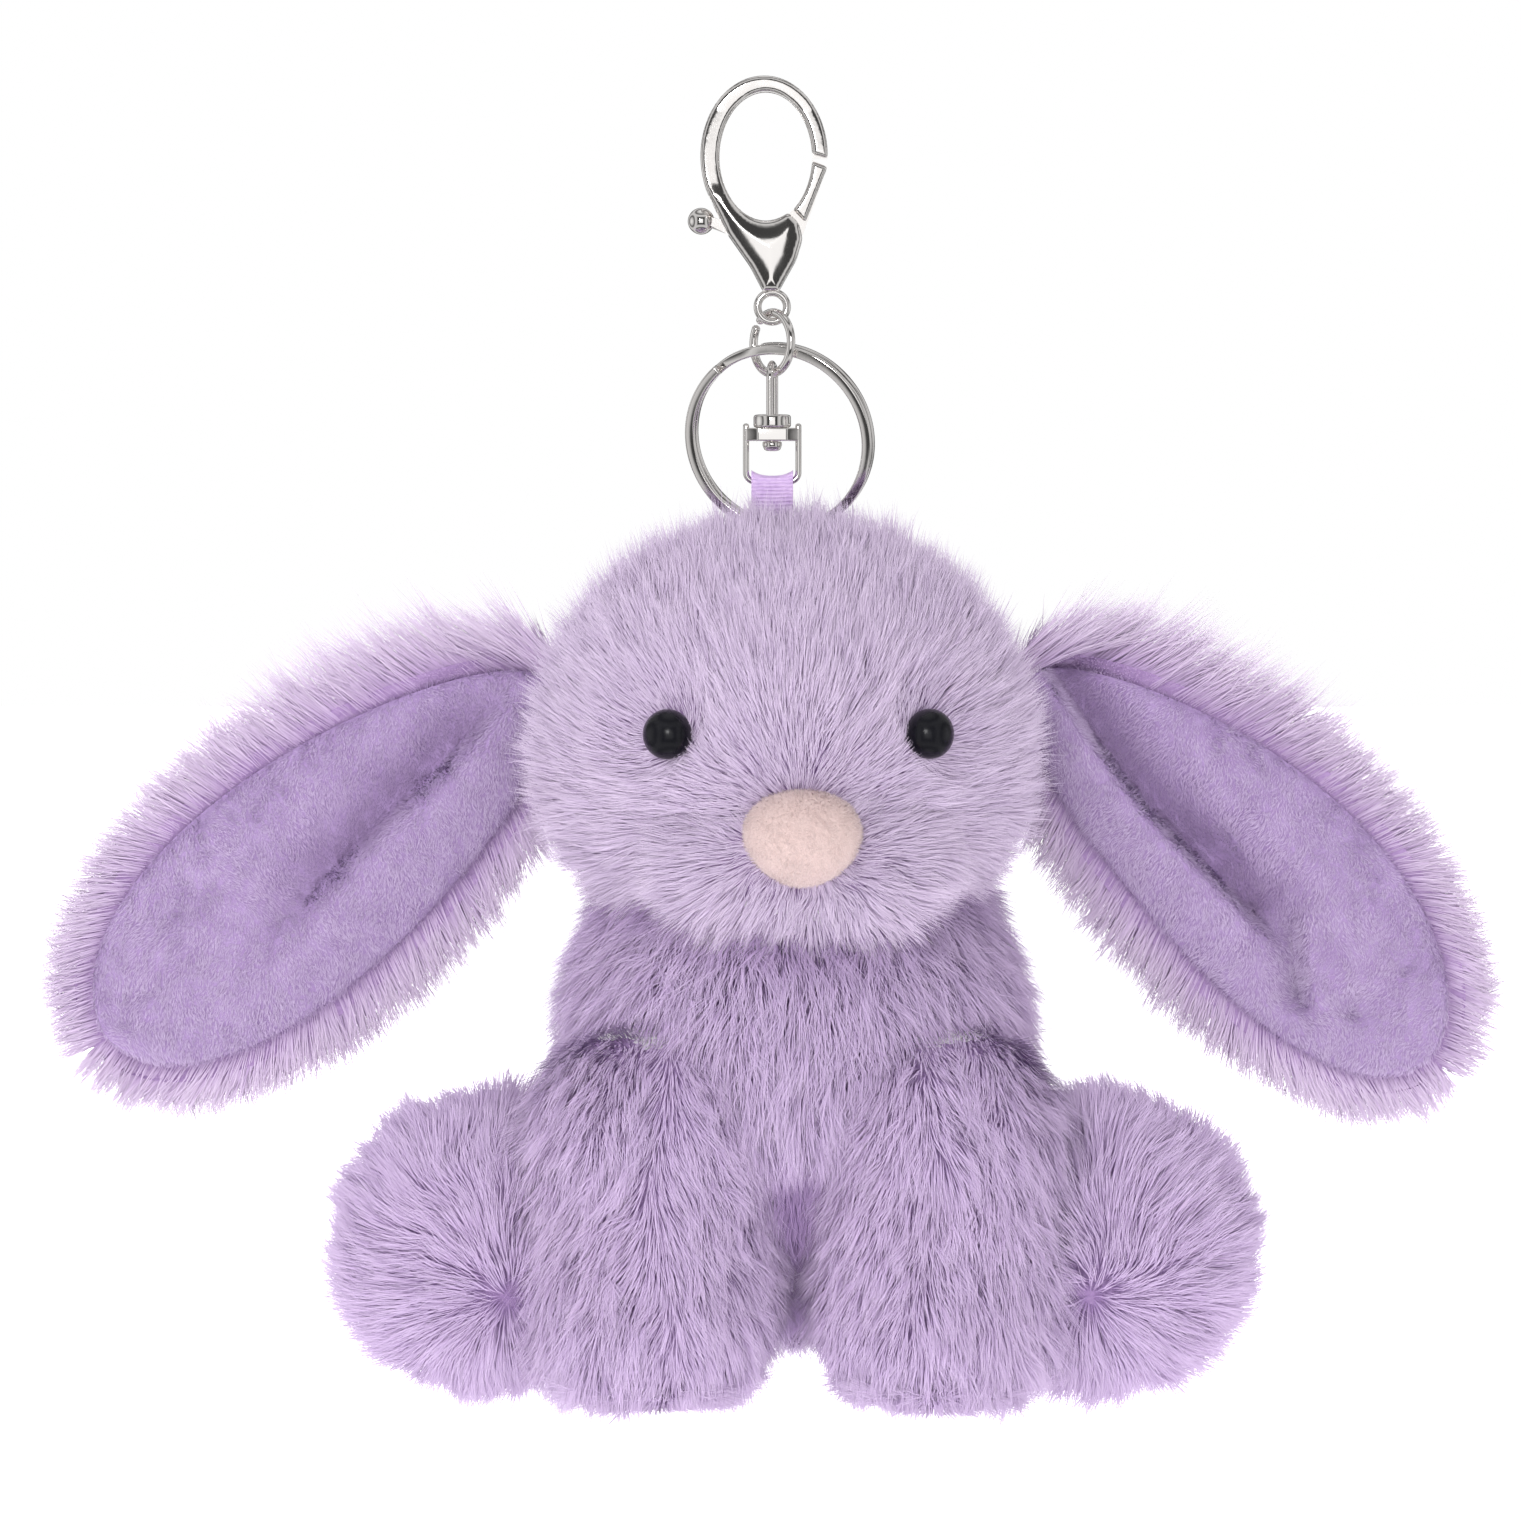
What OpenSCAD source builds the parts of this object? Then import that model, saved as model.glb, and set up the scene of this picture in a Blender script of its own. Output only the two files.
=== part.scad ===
// Plush bunny keychain: lobster clasp, jump ring, split ring, swivel, ribbon loop and stuffed bunny.
// The origin is the inner top of the clasp's hook. The bunny faces -Y, and +Z is up.

/* [Clasp] */
// Inner width of the hook
hook_w = 14.3; // [13:0.1:16]
// Inner height of the hook
hook_h = 19.9; // [19:0.1:22]
// Width of the hook's band, seen from the front
hook_band = 2.3; // [2:0.1:2.6]
// Thickness of the hook, front to back
hook_t = 2.6; // [2.4:0.1:3]
// Thickness of the clasp's body, front to back
clasp_t = 5; // [4.6:0.1:5.6]
// Radius of the ball on the thumb lever
ball_r = 2; // [1.6:0.1:2.4]
// Radius of the lever's rivet
rivet_r = 0.75; // [0.6:0.05:0.9]

/* [Rings] */
// Outer diameter of the jump ring
jump_d = 10.7; // [10.5:0.1:11]
// Wire radius of the jump ring
jump_wire_r = 0.7; // [0.6:0.05:0.75]
// Turn of the jump ring about the vertical
jump_yaw = -52; // [-54:1:-50]
// Outer diameter of the split ring
split_d = 30; // [28:0.5:31]
// Radial thickness of the split ring
split_t = 1.5; // [1.3:0.1:1.6]
// Height of the split ring's two turns together
split_h = 2.8; // [2.6:0.1:3]
// Turn of the split ring about the vertical
split_yaw = -18; // [-20:1:-16]
// Lean of the split ring, its foot towards the back
split_lean = 15; // [13:1:18]

/* [Swivel and ribbon] */
// Wire radius of the swivel's eye
eye_wire_r = 0.56; // [0.5:0.02:0.58]
// Diameter of the swivel's round collar
collar_d = 5.8; // [5.4:0.1:6.2]
// Width of the swivel's block
block_w = 9; // [8.6:0.1:9.4]
// Wire radius of the D-loop
loop_wire_r = 0.48; // [0.4:0.02:0.5]
// Width of the ribbon
ribbon_w = 6.4; // [6:0.1:6.6]
// Thickness of the ribbon
ribbon_t = 0.5; // [0.4:0.05:0.6]

/* [Bunny] */
// Half the width of the head without its fur
head_rx = 34.5; // [33:0.5:36]
// Half the height of the head without its fur
head_rz = 31; // [29:0.5:32]
// Half the width of the trunk without its fur
body_r = 34.5; // [33:0.5:36]
// Radius of a front leg without its fur
front_leg_r = 17.6; // [16:0.2:18]
// Thickness of the fur fabric's backing
cover_t = 1.2; // [0.8:0.1:1.6]
// Diameter of an eye
eye_d = 7.5; // [6:0.5:9]
// Length of the ear at -X without its fur
ear_left_l = 94; // [86:1:96]
// Length of the ear at +X without its fur
ear_right_l = 92; // [86:1:96]
// Width of the ear at -X without its fur
ear_left_w = 43; // [38:1:44]
// Width of the ear at +X without its fur
ear_right_w = 41; // [38:1:44]
// Droop of the ear at -X below the horizontal
ear_left_droop = 38.5; // [36:0.5:44]
// Droop of the ear at +X below the horizontal
ear_right_droop = 43; // [36:0.5:44]

/* [Hidden] */
$fn = 64;
eps = 0.01;
fit = 0.03; // running clearance of a pin in its hole

nickel = "gainsboro";
fur = "plum";
velour = "mediumpurple";
fill = "whitesmoke";

// clasp: heights are measured down from the hook's inner top
hook_x = -1;
hook_z = -hook_h / 2;
pivot = [0, 0, -23.4];
lever_t = 2.4;
slot_t = 2.6;
hub_t = 1.2;
hub_r = 2.1;
gate_top = -10.9;
eye_ring_z = -32.9;
eye_ring_r = 2.25;
eye_ring_wire_r = 0.55;

// chain: each link hangs on the one above with a small gap
jump_r = jump_d / 2 - jump_wire_r;
jump_top_z = eye_ring_z - eye_ring_r + eye_ring_wire_r + jump_wire_r + 0.14;
jump_z = jump_top_z - jump_r;
jump_bottom_z = jump_z - jump_r;
eye_arch_r = 2.32;
eye_yaw = -9;
eye_top_z = jump_bottom_z + jump_wire_r + eye_wire_r + 0.16;
split_r = (split_d - split_t) / 2;
split_top_z = eye_top_z + eye_wire_r + 1.86;
collar_top_z = -49.4;
collar_h = 2;
block_top_z = collar_top_z - collar_h - 0.05;
block_h = 2;
block_d = 4.4;
pin_r = 0.9;
pin_head_z = block_top_z - block_h - 0.05;
bar_z = -59.6;
ribbon_foot_z = -74;

// bunny
head = [2, 0, -99.5];
muzzle = [4.6, -19, -117];
muzzle_rx = 20.5;
muzzle_r = 12.5;
nose = [4.4, -30.5, -113];
nose_rx = 8.8;
nose_r = 7.3;
eye_left_x = -15.2;
eye_right_x = 22.9;
eye_z = -97.7;
shank_r = 1;
trunk = [3.5, 7, -148.5];
trunk_rz = 41.5;
front_leg_gap = 6.6;
front_leg_top = -140;
front_leg_foot = -200;
front_leg_y = -15;
hind_leg_x = 46.5;
hind_leg_z = -176.5;
hind_leg_y = -2;
hind_leg_rx = 22;
hind_leg_r = 20.5;
tail = [3.5, 34, -179];
tail_r = 9;
ear_y = 7;
ear_back_t = 3.4;
ear_lining_t = 1.4;
ear_gap = 1; // room for the ears to turn beside the head
ear_root = [[-32, ear_y, -89], [37, ear_y, -88]];
ear_bow = [0.5, 2.5]; // rise of each ear's middle above a straight leaf

// Extrudes a shape drawn in X and Z, centred on Y = 0.
module upright(t) {
    rotate([90, 0, 0]) linear_extrude(height = t, center = true) children();
}

// A closed wire ring that stands up, facing -Y.
module wire_ring(r, wire_r) {
    rotate([90, 0, 0]) rotate_extrude() translate([r, 0]) circle(r = wire_r);
}

function oval(rx, ry, n = 72) = [for (i = [0 : n - 1]) [rx * cos(360 * i / n), ry * sin(360 * i / n)]];

function half_oval(r, h, n = 20) =
    [for (i = [0 : n]) [max(0, r * cos(180 * i / n - 90)), h * sin(180 * i / n - 90)]];

// A round solid about Z with an oval outline: radius r, half height h.
module spheroid(r, h) {
    rotate_extrude() polygon(half_oval(r, h));
}

// The same, lying along X: half length h.
module spheroid_x(r, h) {
    rotate([0, 90, 0]) spheroid(r, h);
}

// ---- clasp ----

module hook_outline() {
    difference() {
        translate([hook_x - 0.25, hook_z]) polygon(oval(hook_w / 2 + hook_band + 0.25, hook_h / 2 + hook_band));
        translate([hook_x, hook_z]) polygon(oval(hook_w / 2, hook_h / 2));
        polygon([[3, -10.3], [12, -10.3], [12, -30], [-1, -30], [-1, -17]]);
    }
}

module heart_outline() {
    difference() {
        polygon([
            [-10.4, -13.5], [-6.5, -21.8], [-3.2, -26.4], [-1.3, -30.6], [0.9, -30.6],
            [3.7, -25.6], [4.6, -22.6], [4.1, -20.4], [2.2, -18.6], [-4, -17], [-8, -13.5]
        ]);
        translate([hook_x, hook_z]) polygon(oval(hook_w / 2, hook_h / 2));
    }
}

// The room in which the lever turns, open to the left, the top and the right.
module lever_slot() {
    upright(slot_t) union() {
        translate([pivot[0], pivot[2]]) circle(r = hub_r + 0.25);
        polygon([[0, -21.3], [-12, -17.5], [-12, -30], [-3, -26.2], [0, -25.5]]);
        polygon([[-2, -22], [-2.6, -17], [9, -17], [9, -22.3], [1.6, -25]]);
    }
}

module rivet_pin(r) {
    translate([0, clasp_t / 2, pivot[2]]) rotate([90, 0, 0]) cylinder(r = r, h = clasp_t - 0.5);
}

module clasp_body() {
    color(nickel) {
        difference() {
            union() {
                upright(hook_t) hook_outline();
                upright(clasp_t) heart_outline();
            }
            lever_slot();
            rivet_pin(rivet_r);
        }
        translate([0, 0, eye_ring_z]) wire_ring(eye_ring_r, eye_ring_wire_r);
    }
}

// The gate arm follows the hook's inside, and the thumb arm ends in a ball.
module lever_outline() {
    difference() {
        union() {
            translate([pivot[0], pivot[2]]) circle(r = hub_r);
            polygon([[6, gate_top + 0.5], [8.4, gate_top - 0.7], [4.7, -21.9], [1.6, -24.8], [-1.8, -22.3], [-1, -20]]);
            polygon([[0, -21.6], [-9.6, -19.2], [-9.6, -20.5], [-1, -24.6]]);
        }
        translate([hook_x, hook_z]) polygon(oval(hook_w / 2, hook_h / 2 + 0.15));
    }
}

module clasp_lever() {
    color(nickel) difference() {
        union() {
            upright(lever_t) lever_outline();
            translate([-10.9, 0, -19.8]) sphere(r = ball_r);
        }
        translate([0, 5, pivot[2]]) rotate([90, 0, 0]) cylinder(r = rivet_r + fit, h = 10);
        translate([0, lever_t / 2 + eps, pivot[2]]) rotate([90, 0, 0])
            cylinder(r = 1.6, h = lever_t - hub_t + eps);
    }
}

module clasp_rivet() {
    color(nickel) rivet_pin(rivet_r);
}

// Three close turns of a torsion spring around the rivet.
module clasp_spring() {
    wire_r = 0.17;
    color("silver") translate([0, lever_t / 2 - 0.12, pivot[2]]) rotate([90, 0, 0])
        rotate_extrude() for (i = [0 : 2]) translate([1.15, wire_r + i * 1.8 * wire_r]) circle(r = wire_r);
}

// ---- rings ----

module jump_ring() {
    gap = 16;
    color(nickel) translate([0, 0, jump_z]) rotate([0, 0, jump_yaw]) rotate([90, 0, 0])
        rotate([0, 0, 148]) rotate_extrude(angle = 360 - gap) translate([jump_r, 0]) circle(r = jump_wire_r);
}

// Two flat turns, joined where the strip crosses from one turn to the next.
module split_ring() {
    color(nickel) translate([0, 0, split_top_z]) rotate([0, 0, split_yaw]) rotate([split_lean, 0, 0])
        translate([0, 0, -split_r]) rotate([90, 0, 0]) difference() {
            rotate_extrude() translate([split_r, 0]) square([split_t, split_h], center = true);
            rotate([0, 0, 125]) rotate_extrude(angle = 335) translate([split_r, 0])
                square([split_t + 1, 0.16], center = true);
            rotate([0, 0, 97]) translate([split_r, 0, split_h / 2]) cube([split_t + 1, 0.3, split_h], center = true);
            rotate([0, 0, 128]) translate([split_r, 0, -split_h / 2]) cube([split_t + 1, 0.3, split_h], center = true);
        }
}

// ---- swivel ----

module swivel_eye() {
    arch_z = eye_top_z - eye_arch_r;
    color(nickel) rotate([0, 0, eye_yaw]) {
        translate([0, 0, arch_z]) rotate([90, 0, 90])
            rotate_extrude(angle = 180) translate([eye_arch_r, 0]) circle(r = eye_wire_r);
        for (side = [-1, 1])
            translate([0, side * eye_arch_r, collar_top_z]) cylinder(r = eye_wire_r, h = arch_z - collar_top_z);
        difference() {
            translate([0, 0, collar_top_z - collar_h]) cylinder(d = collar_d, h = collar_h);
            translate([0, 0, collar_top_z - collar_h - 1]) cylinder(r = pin_r, h = collar_h);
        }
    }
}

module swivel_rivet() {
    color(nickel) {
        translate([0, 0, pin_head_z - eps]) cylinder(r = pin_r, h = collar_top_z - 1 - pin_head_z + eps);
        translate([0, 0, pin_head_z - 1.4]) cylinder(r1 = 1.2, r2 = 1.5, h = 1.4);
    }
}

module swivel_yoke() {
    side_x = block_w / 2 - loop_wire_r;
    bend_r = 1.3;
    color(nickel) {
        difference() {
            translate([0, 0, block_top_z - block_h]) linear_extrude(height = block_h) polygon([
                [-side_x, -1.1], [-2.2, -block_d / 2], [2.2, -block_d / 2], [side_x, -1.1],
                [side_x, 1.1], [2.2, block_d / 2], [-2.2, block_d / 2], [-side_x, 1.1]
            ]);
            translate([0, 0, block_top_z - block_h - 1]) cylinder(r = pin_r + fit, h = block_h + 2);
        }
        for (side = [-1, 1]) {
            translate([side * side_x, 0, bar_z + bend_r])
                cylinder(r = loop_wire_r, h = block_top_z + 0.3 - bar_z - bend_r);
            translate([side * (side_x - bend_r), 0, bar_z + bend_r]) rotate([90, 0, 0])
                rotate([0, 0, side > 0 ? -90 : 180]) rotate_extrude(angle = 90)
                    translate([bend_r, 0]) circle(r = loop_wire_r);
        }
        translate([bend_r - side_x, 0, bar_z]) rotate([0, 90, 0])
            cylinder(r = loop_wire_r, h = 2 * (side_x - bend_r));
    }
}

// The ribbon's outline from the side: around the bar, then both ends down into the head.
module ribbon_outline(inside) {
    turn_r = loop_wire_r + 0.1 + ribbon_t;
    union() {
        circle(r = turn_r);
        translate([-turn_r, ribbon_foot_z - bar_z]) square([2 * turn_r, bar_z - ribbon_foot_z]);
    }
}

module ribbon_solid() {
    translate([0, 0, bar_z]) rotate([90, 0, 90]) linear_extrude(height = ribbon_w, center = true)
        ribbon_outline();
}

module ribbon_loop() {
    color(velour) difference() {
        ribbon_solid();
        translate([0, 0, bar_z]) rotate([90, 0, 90]) linear_extrude(height = ribbon_w + 2, center = true) {
            circle(r = loop_wire_r + 0.1);
            translate([-loop_wire_r - 0.1, -3]) square([2 * loop_wire_r + 0.2, 3]);
            translate([-0.1, ribbon_foot_z - bar_z - 1]) square([0.2, bar_z - ribbon_foot_z - 1]);
        }
    }
}

// ---- head ----

module head_solid(inset = 0) {
    translate(head) spheroid_x(head_rz - inset, head_rx - inset);
}

module muzzle_solid(inset = 0) {
    translate(muzzle) spheroid_x(muzzle_r - inset, muzzle_rx - inset);
}

// Where an eye sits: the head's front surface at this X, and the direction that it faces.
function eye_front(x) =
    let (u = (x - head[0]) / head_rx, w = (eye_z - head[2]) / head_rz) head[1] - head_rz * sqrt(1 - u * u - w * w);
function eye_turn(x) = atan2((x - head[0]) / pow(head_rx, 2), -(eye_front(x) - head[1]) / pow(head_rz, 2));

// Draws its children with +Z pointing out of the head at an eye.
module at_eye(x) {
    translate([x, eye_front(x), eye_z]) rotate([0, 0, eye_turn(x)]) rotate([90, 0, 0]) children();
}

module eye_shanks() {
    for (x = [eye_left_x, eye_right_x]) at_eye(x) translate([0, 0, -7]) cylinder(r = shank_r, h = 8);
}

module head_cover() {
    color(fur) difference() {
        head_solid();
        head_solid(cover_t);
        ribbon_solid();
        eye_shanks();
    }
}

module head_stuffing() {
    color(fill) difference() {
        head_solid(cover_t);
        ribbon_solid();
        eye_shanks();
        for (x = [eye_left_x, eye_right_x]) at_eye(x) washer();
    }
}

module muzzle_cover() {
    color(fur) difference() {
        muzzle_solid();
        muzzle_solid(cover_t);
        head_solid();
        trunk_solid();
    }
}

module muzzle_stuffing() {
    color(fill) difference() {
        muzzle_solid(cover_t);
        head_solid();
        trunk_solid();
    }
}

module nose_pad() {
    color("mistyrose") difference() {
        translate(nose) spheroid_x(nose_r, nose_rx);
        muzzle_solid();
        head_solid();
    }
}

module plush_eye(x) {
    dome_h = 0.42 * eye_d;
    color("black") at_eye(x) {
        translate([0, 0, 0.06]) rotate_extrude() intersection() {
            polygon(oval(eye_d / 2, dome_h, 48));
            square([eye_d, eye_d]);
        }
        translate([0, 0, -7]) cylinder(r = shank_r, h = 7.5);
    }
}

module washer() {
    translate([0, 0, -cover_t - 2]) cylinder(d = eye_d + 1.5, h = 1.2);
}

module eye_washer(x) {
    color("dimgray") at_eye(x) difference() {
        washer();
        translate([0, 0, -10]) cylinder(r = shank_r, h = 12);
    }
}

// ---- ears ----

// A long leaf along +X from its root, rounder at its tip, with its middle raised by bow.
function leaf(l, w, bow, n = 40) = [
    for (i = [0 : n])
        let (a = 180 * i / n, s = (1 - cos(a)) / 2) [l * s, bow * sin(180 * s) + w / 2 * sin(a) * (0.72 + 0.42 * s)],
    for (i = [n - 1 : -1 : 1])
        let (a = 180 * i / n, s = (1 - cos(a)) / 2) [l * s, bow * sin(180 * s) - w / 2 * sin(a) * (0.72 + 0.42 * s)]
];

// side is -1 for the ear at -X and 1 for the ear at +X
module ear_panel(side, inset, back_y, t) {
    i = side < 0 ? 0 : 1;
    ear_l = [ear_left_l, ear_right_l][i];
    ear_w = [ear_left_w, ear_right_w][i];
    ear_droop = [ear_left_droop, ear_right_droop][i];
    translate(ear_root[i]) rotate([0, side * ear_droop, 0]) mirror([side < 0 ? 1 : 0, 0, 0])
        translate([inset, back_y, 0]) rotate([90, 0, 0]) linear_extrude(height = t)
            polygon(leaf(ear_l - 2 * inset, ear_w - 2 * inset, ear_bow[i]));
}

module ear_back(side) {
    color(fur) difference() {
        ear_panel(side, 0, ear_back_t, ear_back_t);
        head_solid(-ear_gap);
    }
}

module ear_lining(side) {
    color(velour) difference() {
        ear_panel(side, 3, 0, ear_lining_t);
        head_solid(-ear_gap);
    }
}

// ---- trunk, legs and tail ----

module trunk_solid(inset = 0) {
    translate(trunk) spheroid(body_r - inset, trunk_rz - inset);
}

module front_leg_solid(side, inset = 0) {
    r = front_leg_r - inset;
    translate([trunk[0] + side * (front_leg_gap / 2 + front_leg_r), front_leg_y, 0]) rotate_extrude() {
        translate([0, front_leg_foot + front_leg_r]) square([r, front_leg_top - front_leg_foot - 2 * front_leg_r]);
        for (z = [front_leg_top - front_leg_r, front_leg_foot + front_leg_r]) translate([0, z]) intersection() {
            circle(r = r);
            translate([0, -r]) square([r, 2 * r]);
        }
    }
}

module hind_leg_solid(side, inset = 0) {
    translate([trunk[0] + side * hind_leg_x, hind_leg_y, hind_leg_z])
        spheroid_x(hind_leg_r - inset, hind_leg_rx - inset);
}

module tail_solid(inset = 0) {
    translate(tail) sphere(r = tail_r - inset);
}

module body_cover() {
    color(fur) difference() {
        trunk_solid();
        trunk_solid(cover_t);
        head_solid();
    }
}

module body_stuffing() {
    color(fill) difference() {
        trunk_solid(cover_t);
        head_solid();
    }
}

module front_leg_cover(side) {
    color(fur) difference() {
        front_leg_solid(side);
        front_leg_solid(side, cover_t);
        trunk_solid();
        head_solid();
    }
}

module front_leg_stuffing(side) {
    color(fill) difference() {
        front_leg_solid(side, cover_t);
        trunk_solid();
        head_solid();
    }
}

module hind_leg_cover(side) {
    color(fur) difference() {
        hind_leg_solid(side);
        hind_leg_solid(side, cover_t);
        front_leg_solid(side);
        trunk_solid();
    }
}

module hind_leg_stuffing(side) {
    color(fill) difference() {
        hind_leg_solid(side, cover_t);
        front_leg_solid(side);
        trunk_solid();
    }
}

module tail_cover() {
    color(fur) difference() {
        tail_solid();
        tail_solid(cover_t);
        trunk_solid();
    }
}

module tail_stuffing() {
    color(fill) difference() {
        tail_solid(cover_t);
        trunk_solid();
    }
}

clasp_body();
clasp_lever();
clasp_rivet();
clasp_spring();
jump_ring();
split_ring();
swivel_eye();
swivel_rivet();
swivel_yoke();
ribbon_loop();
head_cover();
head_stuffing();
muzzle_cover();
muzzle_stuffing();
nose_pad();
plush_eye(eye_left_x);  // eye_left
plush_eye(eye_right_x);  // eye_right
eye_washer(eye_left_x);  // eye_washer_left
eye_washer(eye_right_x);  // eye_washer_right
ear_back(-1);  // ear_left_back
ear_lining(-1);  // ear_left_lining
ear_back(1);  // ear_right_back
ear_lining(1);  // ear_right_lining
body_cover();
body_stuffing();
front_leg_cover(-1);  // front_leg_left_cover
front_leg_stuffing(-1);  // front_leg_left_stuffing
front_leg_cover(1);  // front_leg_right_cover
front_leg_stuffing(1);  // front_leg_right_stuffing
hind_leg_cover(-1);  // hind_leg_left_cover
hind_leg_stuffing(-1);  // hind_leg_left_stuffing
hind_leg_cover(1);  // hind_leg_right_cover
hind_leg_stuffing(1);  // hind_leg_right_stuffing
tail_cover();
tail_stuffing();
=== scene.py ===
import math

import bmesh
import bpy
import numpy as np
from mathutils import Matrix, Vector
from mathutils.geometry import delaunay_2d_cdt


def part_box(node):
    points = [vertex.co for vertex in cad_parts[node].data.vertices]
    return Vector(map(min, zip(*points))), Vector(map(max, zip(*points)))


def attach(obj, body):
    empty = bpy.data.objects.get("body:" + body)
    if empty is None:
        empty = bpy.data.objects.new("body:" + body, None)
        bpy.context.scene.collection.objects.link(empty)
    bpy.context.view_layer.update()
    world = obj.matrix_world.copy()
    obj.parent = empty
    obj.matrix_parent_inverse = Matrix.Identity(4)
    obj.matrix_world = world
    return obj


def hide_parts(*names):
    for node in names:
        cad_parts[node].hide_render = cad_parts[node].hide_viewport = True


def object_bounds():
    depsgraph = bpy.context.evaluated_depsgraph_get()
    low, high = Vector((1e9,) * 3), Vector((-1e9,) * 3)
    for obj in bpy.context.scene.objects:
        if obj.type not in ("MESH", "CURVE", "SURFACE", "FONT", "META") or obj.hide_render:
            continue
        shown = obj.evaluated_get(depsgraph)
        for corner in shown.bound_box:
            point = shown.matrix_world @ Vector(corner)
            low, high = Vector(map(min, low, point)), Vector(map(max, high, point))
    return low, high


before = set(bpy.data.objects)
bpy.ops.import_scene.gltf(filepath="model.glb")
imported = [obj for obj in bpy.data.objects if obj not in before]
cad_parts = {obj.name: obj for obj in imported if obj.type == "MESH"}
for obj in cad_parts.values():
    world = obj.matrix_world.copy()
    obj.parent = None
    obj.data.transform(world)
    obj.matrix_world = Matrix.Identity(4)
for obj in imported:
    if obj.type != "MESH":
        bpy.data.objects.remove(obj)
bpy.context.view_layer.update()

MM = 0.001
TAU = 2 * math.pi

# ---------------------------------------------------------------- sizes, in millimetres

FUR_PER_MM2 = 6.5  # strands of fur on each square millimetre of backing
PILE_PER_MM2 = 15  # tufts of the short velour pile
FUR_WIDTH = 0.17
TRUNK_HALF_HEIGHT = 41.5  # the head hides the trunk's top, so its box doesn't give this
MUZZLE_DEPTH = 12.5
EYE_X = {"left": -15.2, "right": 22.9}
EYE_Z = -97.7
EYE_R = 3.75
EYE_STANDS_OUT = 0.9
BACK_OF_HEAD_Y = -4  # behind this plane the head's fur is thinner and a piece of its own
CHEST_Z = -146  # the middle of the chest's tuft
EAR_ROOT = {"left": (-32, 7, -89), "right": (37, 7, -88)}
EAR_LENGTH = {"left": 94, "right": 92}
EAR_WIDTH = {"left": 43, "right": 41}
EAR_DROOP = {"left": math.radians(38.5), "right": math.radians(43)}
EAR_BOW = {"left": 0.5, "right": 2.5}
SEAM = 3  # how far the lining's seam lies inside the ear's edge


def middle(node):
    low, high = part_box(node)
    return (np.array(low) + np.array(high)) / 2 / MM


def half(node):
    low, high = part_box(node)
    return (np.array(high) - np.array(low)) / 2 / MM


HEAD = middle("head_cover")
HEAD_R = half("head_cover")
MUZZLE_R = np.array([half("muzzle_cover")[0], MUZZLE_DEPTH, MUZZLE_DEPTH])
MUZZLE = np.array(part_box("muzzle_cover")[0]) / MM + MUZZLE_R
NOSE_R = half("nose_pad")[[0, 2, 2]]
NOSE = np.array(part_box("nose_pad")[0]) / MM + NOSE_R
NOSE_TIP = NOSE - (0, NOSE_R[1], 0)
trunk_low = middle("body_cover")[2] - half("body_cover")[2]
TRUNK = np.array([*middle("body_cover")[:2], trunk_low + TRUNK_HALF_HEIGHT])
TRUNK_R = np.array([*half("body_cover")[:2], TRUNK_HALF_HEIGHT])
TAIL = middle("tail_cover")
TAIL_R = np.full(3, half("tail_cover")[0])
SIDES = {"left": -1, "right": 1}

# ---------------------------------------------------------------- noise and vectors


def waves(points, length, seed, count=9):
    """Smooth noise from about -1 to 1: sine waves about length mm long, each in its own direction."""
    rng = np.random.default_rng(seed)
    out = np.zeros(len(points))
    for _ in range(count):
        direction = rng.normal(size=3)
        direction *= TAU / (length * rng.uniform(0.7, 1.5)) / np.linalg.norm(direction)
        out += np.sin(points @ direction + rng.uniform(0, TAU))
    return out / math.sqrt(count / 2) * 0.6


def wave_vectors(points, length, seed):
    return np.stack([waves(points, length, seed + k) for k in range(3)], axis=1)


def unit(v):
    return v / np.maximum(np.linalg.norm(v, axis=-1, keepdims=True), 1e-9)


def along(v, normal):
    """The part of v that lies in the surface, as a unit vector where it is long enough."""
    flat = v - (v * normal).sum(1, keepdims=True) * normal
    size = np.linalg.norm(flat, axis=1, keepdims=True)
    return flat / np.maximum(size, 0.05)


def smoothstep(x, low, high):
    t = np.clip((x - low) / (high - low), 0, 1)
    return t * t * (3 - 2 * t)


def in_oval(points, centre, radii, grow=0.0):
    return (((points - centre) / (np.asarray(radii) + grow)) ** 2).sum(1) < 1


# ---------------------------------------------------------------- materials


class Tree:
    """Short calls for building a node tree."""

    def __init__(self, tree):
        self.tree = tree

    def add(self, kind, **settings):
        node = self.tree.nodes.new(kind)
        for key, value in settings.items():
            setattr(node, key, value)
        return node

    def link(self, source, target):
        self.tree.links.new(source, target)

    def ramp(self, factor, stops):
        node = self.add("ShaderNodeValToRGB")
        while len(node.color_ramp.elements) < len(stops):
            node.color_ramp.elements.new(0.5)
        for element, (place, colour) in zip(node.color_ramp.elements, stops):
            element.position = place
            element.color = (*colour, 1)
        self.link(factor, node.inputs["Fac"])
        return node.outputs["Color"]


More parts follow.
